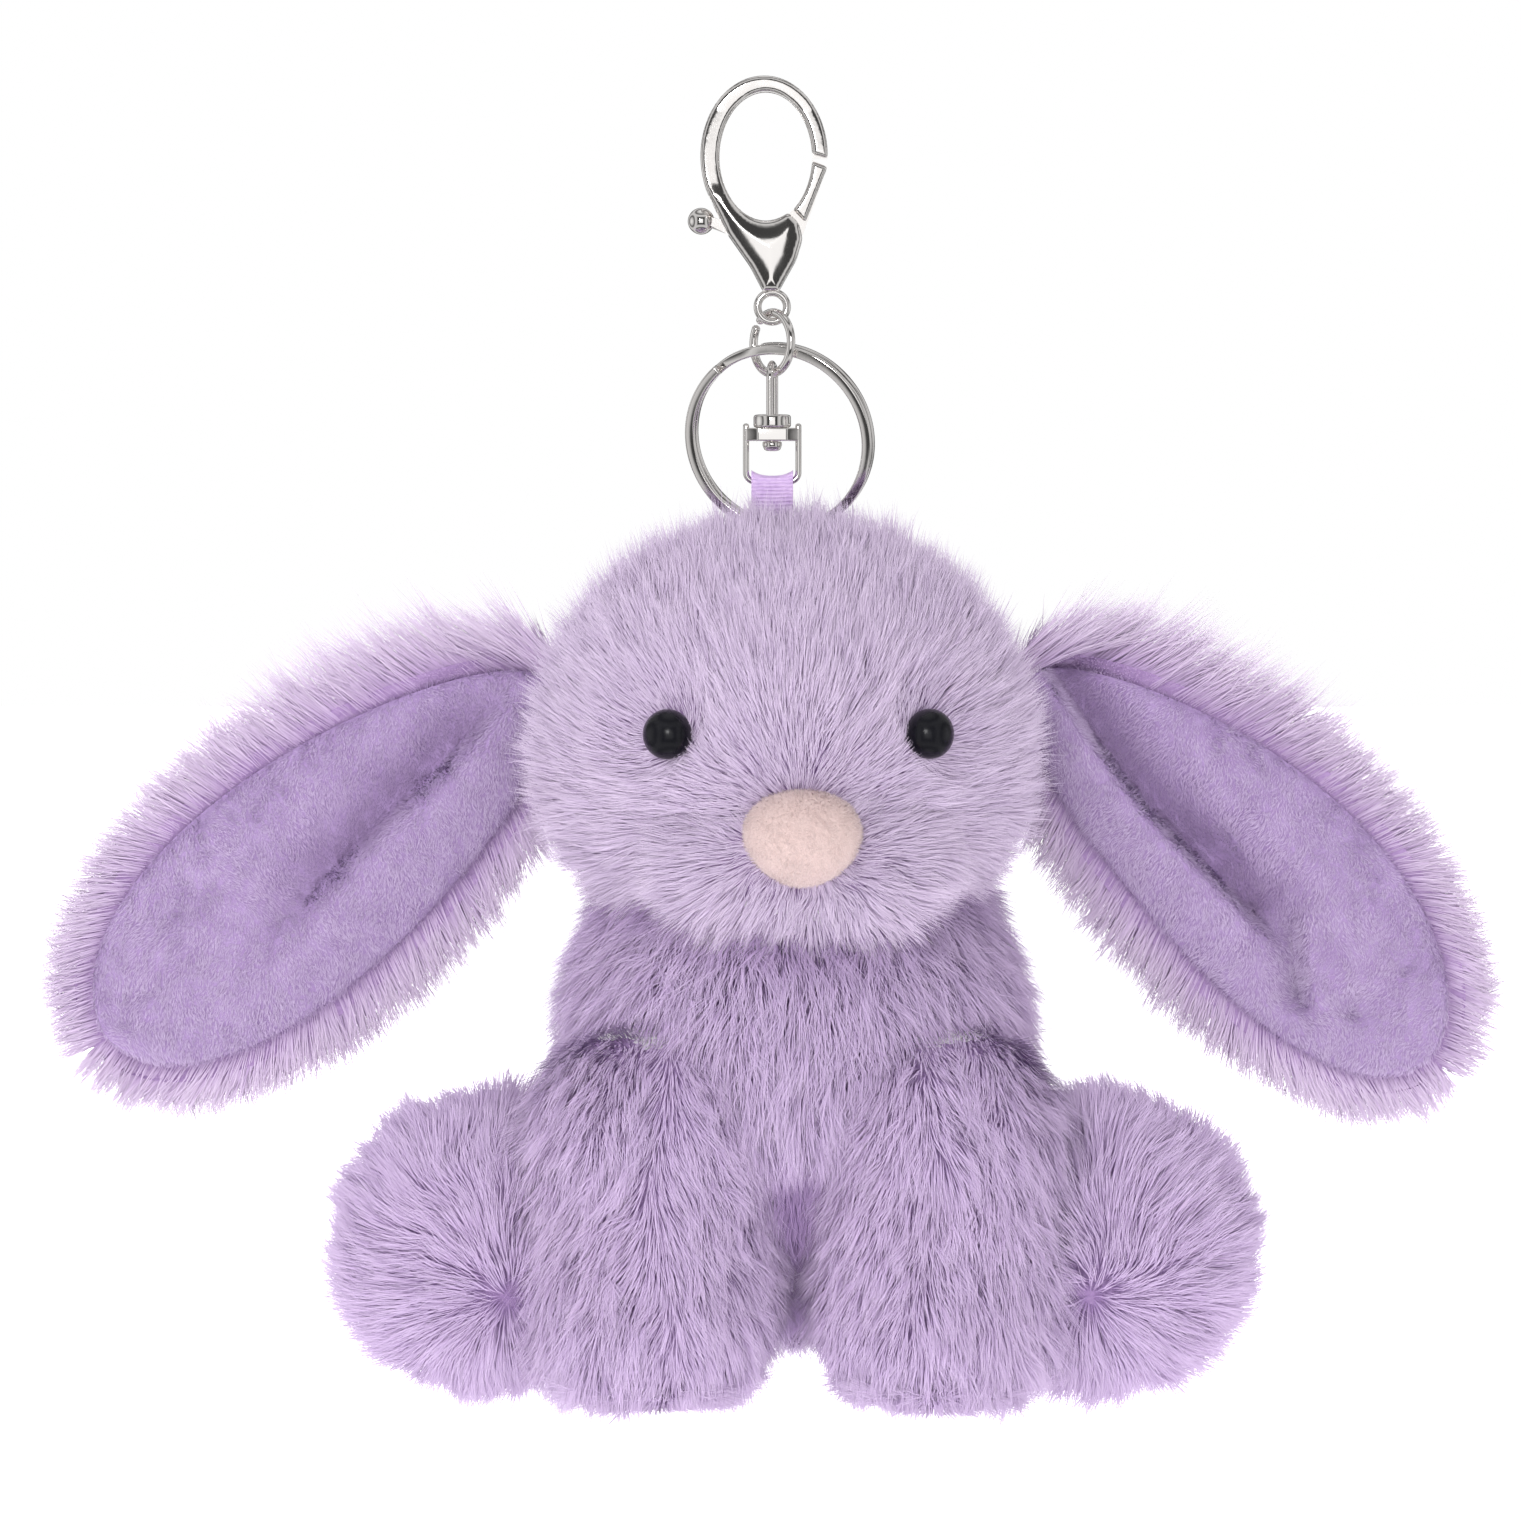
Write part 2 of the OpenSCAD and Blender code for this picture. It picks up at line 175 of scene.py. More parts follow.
class Surface(Tree):
    """One material's node tree and its shader."""

    def __init__(self, name):
        self.material = bpy.data.materials.new(name)
        self.material.use_nodes = True
        super().__init__(self.material.node_tree)
        self.shader = self.tree.nodes["Principled BSDF"]

    def set(self, **values):
        for key, value in values.items():
            self.shader.inputs[key.replace("_", " ")].default_value = value

    def paint(self, colour):
        self.link(colour, self.shader.inputs["Base Color"])

    def noise(self, scale, detail):
        node = self.add("ShaderNodeTexNoise")
        node.inputs["Scale"].default_value = scale
        node.inputs["Detail"].default_value = detail
        self.link(self.add("ShaderNodeTexCoord").outputs["Object"], node.inputs["Vector"])
        return node.outputs["Fac"]

    def multiply(self, a, b):
        node = self.add("ShaderNodeMix", data_type="RGBA", blend_type="MULTIPLY")
        node.inputs[0].default_value = 1.0
        self.link(a, node.inputs[6])
        self.link(b, node.inputs[7])
        return node.outputs[2]

    def bump(self, height, strength, distance):
        node = self.add("ShaderNodeBump")
        node.inputs["Strength"].default_value = strength
        node.inputs["Distance"].default_value = distance
        self.link(height, node.inputs["Height"])
        self.link(node.outputs["Normal"], self.shader.inputs["Normal"])


def srgb(r, g, b):
    return tuple(((c / 255 + 0.055) / 1.055) ** 2.4 if c > 10 else c / 255 / 12.92 for c in (r, g, b))


def fur_material(name, root, middle_tone, tip, sheen=0.25):
    """Strand colour from its own UV: V runs from root to tip, and U is the strand's shade."""
    n = Surface(name)
    uv = n.add("ShaderNodeUVMap", uv_map="OFBake")
    split = n.add("ShaderNodeSeparateXYZ")
    n.link(uv.outputs["UV"], split.inputs[0])
    length = n.ramp(split.outputs["Y"], [(0.0, root), (0.45, middle_tone), (1.0, tip)])
    shades = [(0.0, (0.88, 0.85, 0.90)), (0.5, (1, 1, 1)), (1.0, (1.07, 1.07, 1.05))]
    n.paint(n.multiply(length, n.ramp(split.outputs["X"], shades)))
    n.set(Roughness=0.62, Specular_IOR_Level=0.25)
    n.set(Sheen_Weight=sheen, Sheen_Roughness=0.4, Sheen_Tint=(0.9, 0.82, 1.0, 1))
    return n.material


def backing_material(name, light, dark):
    """The knitted backing under the fur, mottled and rough."""
    n = Surface(name)
    n.paint(n.ramp(n.noise(900, 4), [(0.3, dark), (0.7, light)]))
    n.set(Roughness=0.9)
    n.bump(n.noise(2600, 2), 0.4, 0.0004)
    return n.material


def velour_material(name, light, dark):
    """Short pile cloth: brushed light and dark patches with a fine nap."""
    n = Surface(name)
    n.paint(n.ramp(n.noise(450, 3), [(0.32, dark), (0.68, light)]))
    n.set(Roughness=0.85, Sheen_Weight=0.35, Sheen_Roughness=0.35)
    n.bump(n.noise(3800, 2), 0.35, 0.0003)
    return n.material


def metal_material(name, colour, roughness):
    """Polished metal with fine rubbing: roughness and bump vary a little."""
    n = Surface(name)
    rubbed = n.ramp(n.noise(220, 5), [(0.35, (roughness,) * 3), (0.75, (roughness + 0.05,) * 3)])
    n.link(rubbed, n.shader.inputs["Roughness"])
    n.set(Base_Color=(*colour, 1), Metallic=1.0)
    n.bump(n.noise(700, 3), 0.03, 0.0002)
    return n.material


def plastic_material(name, colour, roughness, shine=0.35):
    """Plain plastic with a slightly lighter speckle."""
    n = Surface(name)
    lighter = tuple(min(1, c * 1.3 + 0.002) for c in colour)
    n.paint(n.ramp(n.noise(500, 2), [(0.3, colour), (0.8, lighter)]))
    n.set(Roughness=roughness, Specular_IOR_Level=shine, IOR=1.5)
    return n.material


def fibre_material(name):
    """White polyester fill."""
    n = Surface(name)
    n.paint(n.ramp(n.noise(1500, 8), [(0.3, (0.78, 0.78, 0.77)), (0.7, (0.93, 0.93, 0.92))]))
    n.set(Roughness=0.95)
    n.bump(n.noise(2200, 6), 0.6, 0.0006)
    return n.material


def ribbon_material(name, light, dark):
    """Woven ribbon: fine ribs across its width over a slow mottle."""
    n = Surface(name)
    ribs = n.add("ShaderNodeTexWave", bands_direction="Z")
    ribs.inputs["Scale"].default_value = 560
    ribs.inputs["Distortion"].default_value = 0.6
    n.link(n.add("ShaderNodeTexCoord").outputs["Object"], ribs.inputs["Vector"])
    mottle = n.ramp(n.noise(1200, 3), [(0.3, dark), (0.7, light)])
    shade = n.ramp(ribs.outputs["Fac"], [(0.0, (0.86, 0.83, 0.9)), (1.0, (1, 1, 1))])
    n.paint(n.multiply(mottle, shade))
    n.set(Roughness=0.5, Sheen_Weight=0.2)
    n.bump(ribs.outputs["Fac"], 0.5, 0.00012)
    return n.material


# each fur's darker root colour is also the painted shade that strands deep between parts, in creases and at
# seams are drawn towards
HEAD_FUR = fur_material("head_fur", srgb(158, 134, 172), srgb(184, 166, 195), srgb(205, 191, 212))
BODY_FUR = fur_material("body_fur", srgb(140, 110, 162), srgb(184, 161, 199), srgb(203, 185, 214))
EAR_FUR = fur_material("ear_fur", srgb(164, 138, 180), srgb(196, 176, 206), srgb(214, 201, 219))
VELOUR_PILE = fur_material("velour_pile", srgb(122, 96, 140), srgb(174, 153, 190), srgb(198, 182, 210), 0.3)
NOSE_PILE = fur_material("nose_pile", srgb(176, 150, 150), srgb(194, 174, 172), srgb(210, 194, 192), 0.2)
BACKING = backing_material("fur_backing", srgb(156, 130, 172), srgb(140, 112, 158))
VELOUR = velour_material("lining_velour", srgb(160, 136, 180), srgb(150, 124, 170))
NOSE_CLOTH = velour_material("nose_velour", srgb(196, 174, 171), srgb(190, 167, 164))
NICKEL = metal_material("nickel_plate", (0.93, 0.90, 0.88), 0.06)
STEEL = metal_material("spring_steel", (0.55, 0.55, 0.56), 0.25)
FILL = fibre_material("fibre_fill")
EYE_BLACK = plastic_material("eye_plastic", (0.003, 0.003, 0.005), 0.25, shine=0.3)
WASHER = plastic_material("washer_plastic", (0.8, 0.8, 0.8), 0.5)
RIBBON = ribbon_material("woven_ribbon", srgb(204, 178, 216), srgb(186, 158, 204))

# ---------------------------------------------------------------- meshes


def link(mesh, material, body, smooth=True):
    """Puts a mesh in the scene as one piece of a body, under the mesh's own name."""
    obj = bpy.data.objects.new(mesh.name, mesh)
    bpy.context.scene.collection.objects.link(obj)
    mesh.materials.append(material)
    if smooth:
        mesh.polygons.foreach_set("use_smooth", [True] * len(mesh.polygons))
    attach(obj, body)
    return obj


def mesh_from(name, points_mm, faces):
    mesh = bpy.data.meshes.new(name)
    mesh.from_pydata((np.asarray(points_mm) * MM).tolist(), [], faces)
    mesh.validate()
    mesh.update()
    return mesh


def face_outwards(mesh, split_large=False):
    """Turns a closed mesh's faces outwards, and can first split those with over four corners."""
    bm = bmesh.new()
    bm.from_mesh(mesh)
    if split_large:
        bmesh.ops.triangulate(bm, faces=[f for f in bm.faces if len(f.verts) > 4])
    bmesh.ops.recalc_face_normals(bm, faces=bm.faces)
    bm.to_mesh(mesh)
    bm.free()
    return mesh


def oval_mesh(name, centre, radii, shape=None, subdivisions=4):
    """A closed oval skin. shape may move its points, given as unit directions."""
    bm = bmesh.new()
    bmesh.ops.create_icosphere(bm, subdivisions=subdivisions, radius=1)
    for v in bm.verts:
        v.co = v.co.normalized()
    mesh = bpy.data.meshes.new(name)
    bm.to_mesh(mesh)
    bm.free()
    unit_points = np.array([v.co for v in mesh.vertices])
    points = centre + unit_points * radii
    if shape is not None:
        points = shape(unit_points, points)
    mesh.vertices.foreach_set("co", (points * MM).ravel())
    mesh.update()
    return mesh


def coordinates(mesh):
    out = np.empty(len(mesh.vertices) * 3)
    mesh.vertices.foreach_get("co", out)
    return out.reshape(-1, 3)


def inflate(obj, voxel, cap, frames=20):
    """Remeshes a skin, swells it as stuffed cloth, limits its move to cap mm, and smooths it."""
    scene = bpy.context.scene
    bpy.context.view_layer.objects.active = obj
    chosen = dict(active_object=obj, object=obj, selected_objects=[obj])
    obj.data.remesh_voxel_size = voxel * MM
    with bpy.context.temp_override(**chosen):
        bpy.ops.object.voxel_remesh()
    start = coordinates(obj.data)
    cloth = obj.modifiers.new("Cloth", "CLOTH")
    cloth.settings.quality = 5
    cloth.settings.use_pressure = True
    cloth.settings.uniform_pressure_force = 4.0
    cloth.settings.effector_weights.gravity = 0
    cloth.settings.tension_stiffness = 12
    cloth.settings.compression_stiffness = 12
    cloth.settings.bending_stiffness = 0.4
    cloth.point_cache.frame_start = 1
    cloth.point_cache.frame_end = frames
    for number in range(1, frames + 1):
        scene.frame_set(number)
    graph = bpy.context.evaluated_depsgraph_get()
    swollen = coordinates(obj.evaluated_get(graph).data)
    obj.modifiers.remove(cloth)
    scene.frame_set(1)
    move = swollen - start
    size = np.linalg.norm(move, axis=1, keepdims=True)
    move *= np.minimum(1, cap * MM / np.maximum(size, 1e-9))
    obj.data.vertices.foreach_set("co", (start + move).ravel())
    obj.data.update()
    smooth = obj.modifiers.new("Smooth", "SUBSURF")
    smooth.levels = smooth.render_levels = 1
    with bpy.context.temp_override(**chosen):
        bpy.ops.object.modifier_apply(modifier=smooth.name)
    obj.data.polygons.foreach_set("use_smooth", [True] * len(obj.data.polygons))


def stuffed(mesh, node, cap=1.6, voxel=4.0):
    """A padded skin of the bunny that stands for a CAD cover."""
    obj = link(mesh, BACKING, "bunny")
    inflate(obj, voxel, cap)
    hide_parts(node)
    return obj


# ---------------------------------------------------------------- fur


def scatter(obj, per_mm2, seed, keep):
    """Random points on a skin, in mm, with its smooth normals.

    keep(points, normals) is the chance, from 0 to 1, that each of them stays."""
    mesh = obj.data
    mesh.calc_loop_triangles()
    count = len(mesh.loop_triangles)
    corners = np.empty(count * 3, dtype=np.int64)
    mesh.loop_triangles.foreach_get("vertices", corners)
    corners = corners.reshape(-1, 3)
    places = coordinates(mesh) / MM
    normals = np.empty(len(places) * 3)
    mesh.vertices.foreach_get("normal", normals)
    normals = normals.reshape(-1, 3)
    a, b, c = (places[corners[:, k]] for k in range(3))
    areas = np.linalg.norm(np.cross(b - a, c - a), axis=1) / 2
    rng = np.random.default_rng(seed)
    total = int(areas.sum() * per_mm2)
    chosen = rng.choice(count, size=total, p=areas / areas.sum())
    u, v = rng.random(total), rng.random(total)
    flip = u + v > 1
    u[flip], v[flip] = 1 - u[flip], 1 - v[flip]
    weights = np.stack([1 - u - v, u, v], axis=1)[:, :, None]
    spots = (places[corners[chosen]] * weights).sum(1)
    facing = unit((normals[corners[chosen]] * weights).sum(1))
    kept = rng.random(total) < keep(spots, facing)
    return spots[kept], facing[kept]


def strands(name, spots, normals, flow, lean, length, material, body, seed,
            width=FUR_WIDTH, mess=0.16, clump=0.3, shading=None, painted_shade=None):
    """Tapered, bent strands from spots: lean 0 stands up, and larger values lie along flow.

    The last argument, from 0 to 1, keeps a strand near its darker root colour: painted shade for fur deep
    between two parts, in creases and along seams."""
    # fur lets light through at its edges, so its shading leans a little to the front or the back
    shading = normals if shading is None else shading
    to_front = 0.3 - 0.6 * smoothstep(normals[:, 1], 0.1, 0.6)
    shading = unit(shading - to_front[:, None] * (0.0, 1.0, -0.3))
    rng = np.random.default_rng(seed)
    count = len(spots)
    lean = np.broadcast_to(lean, count)[:, None]
    length = np.broadcast_to(length, count)
    tufts = wave_vectors(spots, 3.4, seed + 11) * clump
    tufts += wave_vectors(spots, 11, seed + 23) * clump * 0.7
    jitter = rng.normal(size=(count, 3)) * mess
    length = (length * rng.uniform(0.72, 1.12, count) * (1 + 0.12 * waves(spots, 4.5, seed + 5)))[:, None]
    low = unit(normals + flow * lean * 0.55 + (tufts + jitter) * 0.45)
    high = unit(normals * 0.62 + flow * lean + tufts + jitter)
    root = spots - normals * 0.25
    bend = root + low * length * 0.45
    tip = bend + high * length * 0.55
    side = unit(np.cross(low + high, shading)) + rng.normal(size=(count, 3)) * 0.2
    side = unit(side) * width / 2
    points = np.stack([root - side, root + side, bend - side * 0.8, bend + side * 0.8, tip], axis=1)
    mesh = bpy.data.meshes.new(name)
    mesh.vertices.add(count * 5)
    mesh.vertices.foreach_set("co", (points * MM).ravel())
    pattern = np.array([0, 1, 3, 2, 2, 3, 4])
    loops = (np.arange(count)[:, None] * 5 + pattern).ravel()
    mesh.loops.add(len(loops))
    mesh.loops.foreach_set("vertex_index", loops.astype(np.int32))
    starts = (np.arange(count)[:, None] * 7 + np.array([0, 4])).ravel()
    mesh.polygons.add(len(starts))
    mesh.polygons.foreach_set("loop_start", starts.astype(np.int32))
    mesh.polygons.foreach_set("use_smooth", np.ones(len(starts), dtype=bool))
    layer = mesh.uv_layers.new(name="OFBake")
    shade = np.clip(rng.normal(0.5, 0.2, count) + 0.12 * waves(spots, 9, seed + 7), 0.02, 0.98)
    step = np.array([0.02, 0.02, 0.5, 0.5, 0.5, 0.5, 0.98])
    spread = np.array([-0.004, 0.004, 0.004, -0.004, -0.004, 0.004, 0])
    step = np.broadcast_to(step, (count, 7))
    # painted shade: strands deep between parts, in creases and at seams show only the darker root end of
    # their colour
    if painted_shade is not None:
        step = step * (1 - 0.75 * painted_shade[:, None])
    uv = np.stack([shade[:, None] + spread, step], axis=2)
    layer.data.foreach_set("uv", uv.ravel())
    mesh.update(calc_edges=True)
    # each strand is shaded mostly like the skin it grows from, so the fur reads as one soft surface
    blade = unit(np.cross(side, high))
    blade *= np.where((blade * shading).sum(1, keepdims=True) < 0, -1, 1)
    shaded = unit(shading * 0.75 + blade * 0.25)
    mesh.normals_split_custom_set_from_vertices(np.repeat(shaded, 5, axis=0))
    return link(mesh, material, body, smooth=False)


# centre and radii of the ovals that the parts of the bunny are made from, and of its legs
LEGS = {f"{kind}_{side}": (middle(f"{kind}_leg_{side}_cover"), half(f"{kind}_leg_{side}_cover"))
        for side in SIDES for kind in ("front", "hind")}
OVALS = {"head": (HEAD, HEAD_R), "muzzle": (MUZZLE, MUZZLE_R), "nose": (NOSE, NOSE_R),
         "trunk": (TRUNK, TRUNK_R), **LEGS}


def in_part(name, points, grow):
    centre, radii = OVALS[name]
    if name.startswith("front"):
        # a front leg is an upright capsule
        reach = radii[2] - radii[0]
        nearest = np.tile(centre, (len(points), 1))
        nearest[:, 2] = np.clip(points[:, 2], centre[2] - reach, centre[2] + reach)
        return np.linalg.norm(points - nearest, axis=1) < radii[0] + grow
    return in_oval(points, centre, radii, grow)


def outside(*names, grow=-1.2):
    """Keeps the fur off what other parts cover."""
    def keep(points, normals):
        free = np.ones(len(points))
        for name in names:
            free[in_part(name, points, grow)] = 0
        return free
    return keep


def closeness(points, *names, reach=6.0, start=-2.0):
    """From 0 to 1 as points come near any of the named parts."""
    found = np.zeros(len(points))
    for grow in np.linspace(start, reach, 9):
        touched = np.zeros(len(points), dtype=bool)
        for name in names:
            touched |= in_part(name, points, grow)
        found += touched / 9
    return found


# ---------------------------------------------------------------- head

DOWN = np.array([0.0, 0.0, -1.0])


def eye_place(side):
    """Where an eye sits on the head's front, and the way it faces."""
    u = (EYE_X[side] - HEAD[0]) / HEAD_R[0]
    w = (EYE_Z - HEAD[2]) / HEAD_R[2]
    y = HEAD[1] - HEAD_R[1] * math.sqrt(1 - u * u - w * w)
    place = np.array([EYE_X[side], y, EYE_Z])
    return place, unit((place - HEAD) / HEAD_R**2)


def head_shape(directions, points):
    """Cheeks a little fuller than an oval, and a flatter crown."""
    cheek = smoothstep(-directions[:, 2], -0.1, 0.6) * (1 - smoothstep(-directions[:, 2], 0.6, 0.95))
    points[:, 0] += directions[:, 0] * cheek * 1.2
    return points


def nose_shape(directions, points):
    """Wider at its top than at its foot."""
    points[:, 0] = NOSE[0] + (points[:, 0] - NOSE[0]) * (1 + 0.13 * directions[:, 2])
    return points


def near_eyes(points, radius):
    """1 at an eye, 0 beyond radius mm from both."""
    out = np.zeros(len(points))
    for side in SIDES:
        away = np.linalg.norm(points - eye_place(side)[0], axis=1)
        out = np.maximum(out, 1 - smoothstep(away, radius * 0.45, radius))
    return out


def over_the_back(flow, points, normals, middle_y):
    """Turns the fur of a part's back half downwards."""
    turned_down = smoothstep(points[:, 1], middle_y, middle_y + 9)[:, None]
    return along(flow * (1 - turned_down) + DOWN * turned_down, normals)


def face_flow(points, normals):
    """Away from the nose, over the whole head."""
    brow = smoothstep(points[:, 2], EYE_Z, EYE_Z + 16)
    radial = points - (NOSE_TIP + (0, 6, 0))
    radial[:, 0] *= 1 - 0.5 * brow
    flow = along(radial, normals)
    for side in SIDES:
        place = eye_place(side)[0]
        away = points - place
        near = (1 - smoothstep(np.linalg.norm(away, axis=1), 4, 12))[:, None]
        flow = flow * (1 - near * 0.5) + along(away, normals) * near * 0.5
    return flow


def build_head():
    skin = stuffed(oval_mesh("head_skin", HEAD, HEAD_R - 0.8, head_shape), "head_cover")
    muzzle = stuffed(oval_mesh("muzzle_skin", MUZZLE, MUZZLE_R - 0.6), "muzzle_cover", cap=1.0, voxel=3.0)
    uncovered = outside("muzzle", "nose")

    def face_more(points, normals):
        """The whole face, and thinner fur on the back of the head."""
        fur = uncovered(points, normals) * (near_eyes(points, 4.6) < 0.75)
        return fur * np.where(points[:, 1] > BACK_OF_HEAD_Y, 0.62, 1.0)

    spots, normals = scatter(skin, FUR_PER_MM2 * 1.6, 11, face_more)
    flow = over_the_back(face_flow(spots, normals), spots, normals, HEAD[1] + 1)
    front = smoothstep(-spots[:, 1], 5, 24)
    from_nose = np.linalg.norm(spots - NOSE_TIP, axis=1)
    length = 10.4 - 3.6 * front - 2.0 * (1 - smoothstep(from_nose, 12, 26)) * front
    length *= 1 - 0.45 * near_eyes(spots, 9)
    # shorter just outside the muzzle, so that the muzzle's ruff shows its edge
    length -= 2.4 * np.exp(-(((from_nose - 21) / 5) ** 2)) * (spots[:, 2] < NOSE[2] + 4)
    lean = 1.2 + 0.3 * front
    back = spots[:, 1] > BACK_OF_HEAD_Y
    for name, chosen in (("head_fur_face", ~back), ("head_fur_back", back)):
        for part in range(2):
            mine = chosen & (np.arange(len(spots)) % 2 == part)
            strands(f"{name}_{part + 1}", spots[mine], normals[mine], flow[mine], lean[mine], length[mine],
                    HEAD_FUR, "bunny", 21 + part, width=0.15, mess=0.13)
    spots, normals = scatter(muzzle, FUR_PER_MM2 * 1.6, 12, outside("nose", "head", grow=-2.5))
    from_nose = np.linalg.norm((spots - NOSE)[:, [0, 2]], axis=1)
    length = 4.2 + 3.8 * smoothstep(from_nose, 8, 17)
    strands("muzzle_fur", spots, normals, along(spots - NOSE_TIP, normals), 0.75, length,
            HEAD_FUR, "bunny", 31, width=0.15, mess=0.13)


def build_nose():
    nose = link(oval_mesh("nose_skin", NOSE, NOSE_R, nose_shape), NOSE_CLOTH, "bunny")
    inflate(nose, voxel=1.5, cap=0.5)
    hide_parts("nose_pad")
    spots, normals = scatter(nose, PILE_PER_MM2 * 1.8, 41, lambda p, n: p[:, 1] < MUZZLE[1] - 3)
    brushed = along(wave_vectors(spots, 7, 5) * 0.25 + DOWN, normals)
    strands("nose_pile", spots, normals, brushed, 0.5, 0.75, NOSE_PILE, "bunny", 42,
            width=0.08, mess=0.3, clump=0.1)


def build_eyes():
    radii = np.array([EYE_R, EYE_R, EYE_R * 0.9])
    for side in SIDES:
        place, facing = eye_place(side)
        mesh = oval_mesh("eye_dome_" + side, np.zeros(3), radii, subdivisions=5)
        turn = Vector(facing).to_track_quat("Z", "Y").to_matrix().to_4x4()
        mesh.transform(Matrix.Translation(Vector((place + facing * EYE_STANDS_OUT) * MM)) @ turn)
        dome = link(mesh, EYE_BLACK, "bunny")
        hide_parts("eye_" + side)


# ---------------------------------------------------------------- trunk, legs and tail


def capsule_shape(centre, radii):
    """Turns an oval's points into an upright capsule's, a little fuller at its foot."""
    reach = radii[2] - radii[0]
    straight = 0.45

    def shape(directions, points):
        rise = directions[:, 2]
        cap = np.clip((np.abs(rise) - straight) / (1 - straight), 0, 1)
        around = unit(directions[:, :2]) * (radii[0] * np.sqrt(np.maximum(1 - cap**2, 0)))[:, None]
        height = np.sign(rise) * (reach * np.minimum(np.abs(rise) / straight, 1) + radii[0] * cap)
        points = centre + np.column_stack([around, height])
        foot = smoothstep(centre[2] - points[:, 2], 0, radii[2])
        points[:, :2] += directions[:, :2] * foot[:, None] * 0.8
        return points
    return shape


def build_trunk():
    skin = stuffed(oval_mesh("trunk_skin", TRUNK, TRUNK_R - 0.8), "body_cover")
    free = outside("head", "front_left", "front_right", "hind_left", "hind_right", grow=-2)
    spots, normals = scatter(skin, FUR_PER_MM2, 13, free)
    flow = along(DOWN + (spots - TRUNK) * (0.012, 0.012, 0), normals)
    chest = spots - (TRUNK[0] + 0.5, TRUNK[1] - TRUNK_R[1], CHEST_Z)
    tuft = np.exp(-((chest[:, 0] / 13) ** 2) - ((chest[:, 2] / 10) ** 2)) * (spots[:, 1] < 0)
    flow = along(flow - np.column_stack([chest[:, 0] * 0.04 * tuft, tuft * 0.2, 0 * tuft]), normals)
    between = np.exp(-((chest[:, 0] / 8) ** 2)) * (1 - smoothstep(chest[:, 2], -18, -8)) * (spots[:, 1] < 0)
    length = (9.3 + 2.8 * tuft) * (1 - 0.5 * between)
    # painted shade: fur near the head and muzzle, between the front legs and beside them stays near its
    # darker root colour
    painted_shade = np.maximum(closeness(spots, "head", "muzzle", reach=5), between)
    painted_shade = np.maximum(painted_shade, 0.8 * closeness(spots, "front_left", "front_right", reach=3))
    painted_shade *= 1 - tuft
    for part in range(2):
        mine = np.arange(len(spots)) % 2 == part
        strands(f"trunk_fur_{part + 1}", spots[mine], normals[mine], flow[mine], 1.3, length[mine],
                BODY_FUR, "bunny", 51 + part, clump=0.42, painted_shade=painted_shade[mine])


def front_leg_fur(number, side, centre, radii, spots, normals):
    """Flow, length and lean of a front leg's fur, which hangs down and turns under at the foot."""
    foot = smoothstep(centre[2] - spots[:, 2], radii[2] * 0.55, radii[2])[:, None]
    shoulder = smoothstep(spots[:, 2] - centre[2], radii[2] * 0.35, radii[2])[:, None]
    drape = DOWN * (1 - foot) + (spots - centre) * (0.05, 0.05, 0) * foot + shoulder * (0, -1.2, 0)
    flow = along(drape, normals)
    # the fur parts along a wavy line down the leg, clearly on the leg at -X and faintly on the other
    line = centre[0] - SIDES[side] * 1.0 + 1.6 * np.sin(spots[:, 2] * 0.16 + number)
    away = spots[:, 0] - line
    strength = (0.55 if side == "left" else 0.25) * (1 - smoothstep(np.abs(away), 1.0, 6.5))
    strength = strength * (spots[:, 1] < centre[1])
    flow[:, 0] += np.clip(away / 1.5, -1, 1) * strength
    inward = np.maximum(normals[:, 0] * -SIDES[side], 0)
    length = 9.0 * (1 - 0.35 * strength) * (1 - 0.3 * inward)
    length *= 1 - 0.5 * smoothstep(-normals[:, 2], 0.85, 1.0)
    length *= 1 - 0.6 * smoothstep(normals[:, 2], 0.55, 0.9)
    return flow, length, 1.2 + 1.2 * smoothstep(normals[:, 2], 0.15, 0.8)


def hind_leg_fur(number, side, centre, radii, spots, normals):
    """Flow, length and lean of a hind leg's fur, which spreads from a point low on its front."""
    hub = centre + (-SIDES[side] * 2, -radii[1], -7)
    flow = along(unit(spots - hub) + wave_vectors(spots, 16, 66 + number) * 0.45, normals)
    return over_the_back(flow, spots, normals, centre[1] + 1), 8.8, 1.25


def build_legs():
    for number, (name, (centre, radii)) in enumerate(LEGS.items()):
        kind, side = name.split("_")
        front = kind == "front"
        shape = capsule_shape(centre, radii - 0.6) if front else None
        skin = stuffed(oval_mesh(name + "_leg_skin", centre, radii - 0.6, shape), f"{kind}_leg_{side}_cover")
        others = [other for other in ("head", "trunk", "front_left", "front_right") if other != name]
        spots, normals = scatter(skin, FUR_PER_MM2, 61 + number, outside(*others, grow=-2.5))
        fur = front_leg_fur if front else hind_leg_fur
        flow, length, lean = fur(number, side, centre, radii, spots, normals)
        near = [other for other in LEGS if other != name and other.startswith("front")]
        # painted shade: fur beside the other front leg stays near its darker root colour
        painted_shade = closeness(spots, *near, reach=7 if front else 5)
        under = smoothstep(-normals[:, 2], 0.4, 1.0)[:, None]
        shading = unit(normals + under * (0.0, -0.9, 0.3))
        strands(name + "_leg_fur", spots, normals, flow, lean, length, BODY_FUR, "bunny",
                71 + number, clump=0.4, shading=shading, painted_shade=painted_shade)


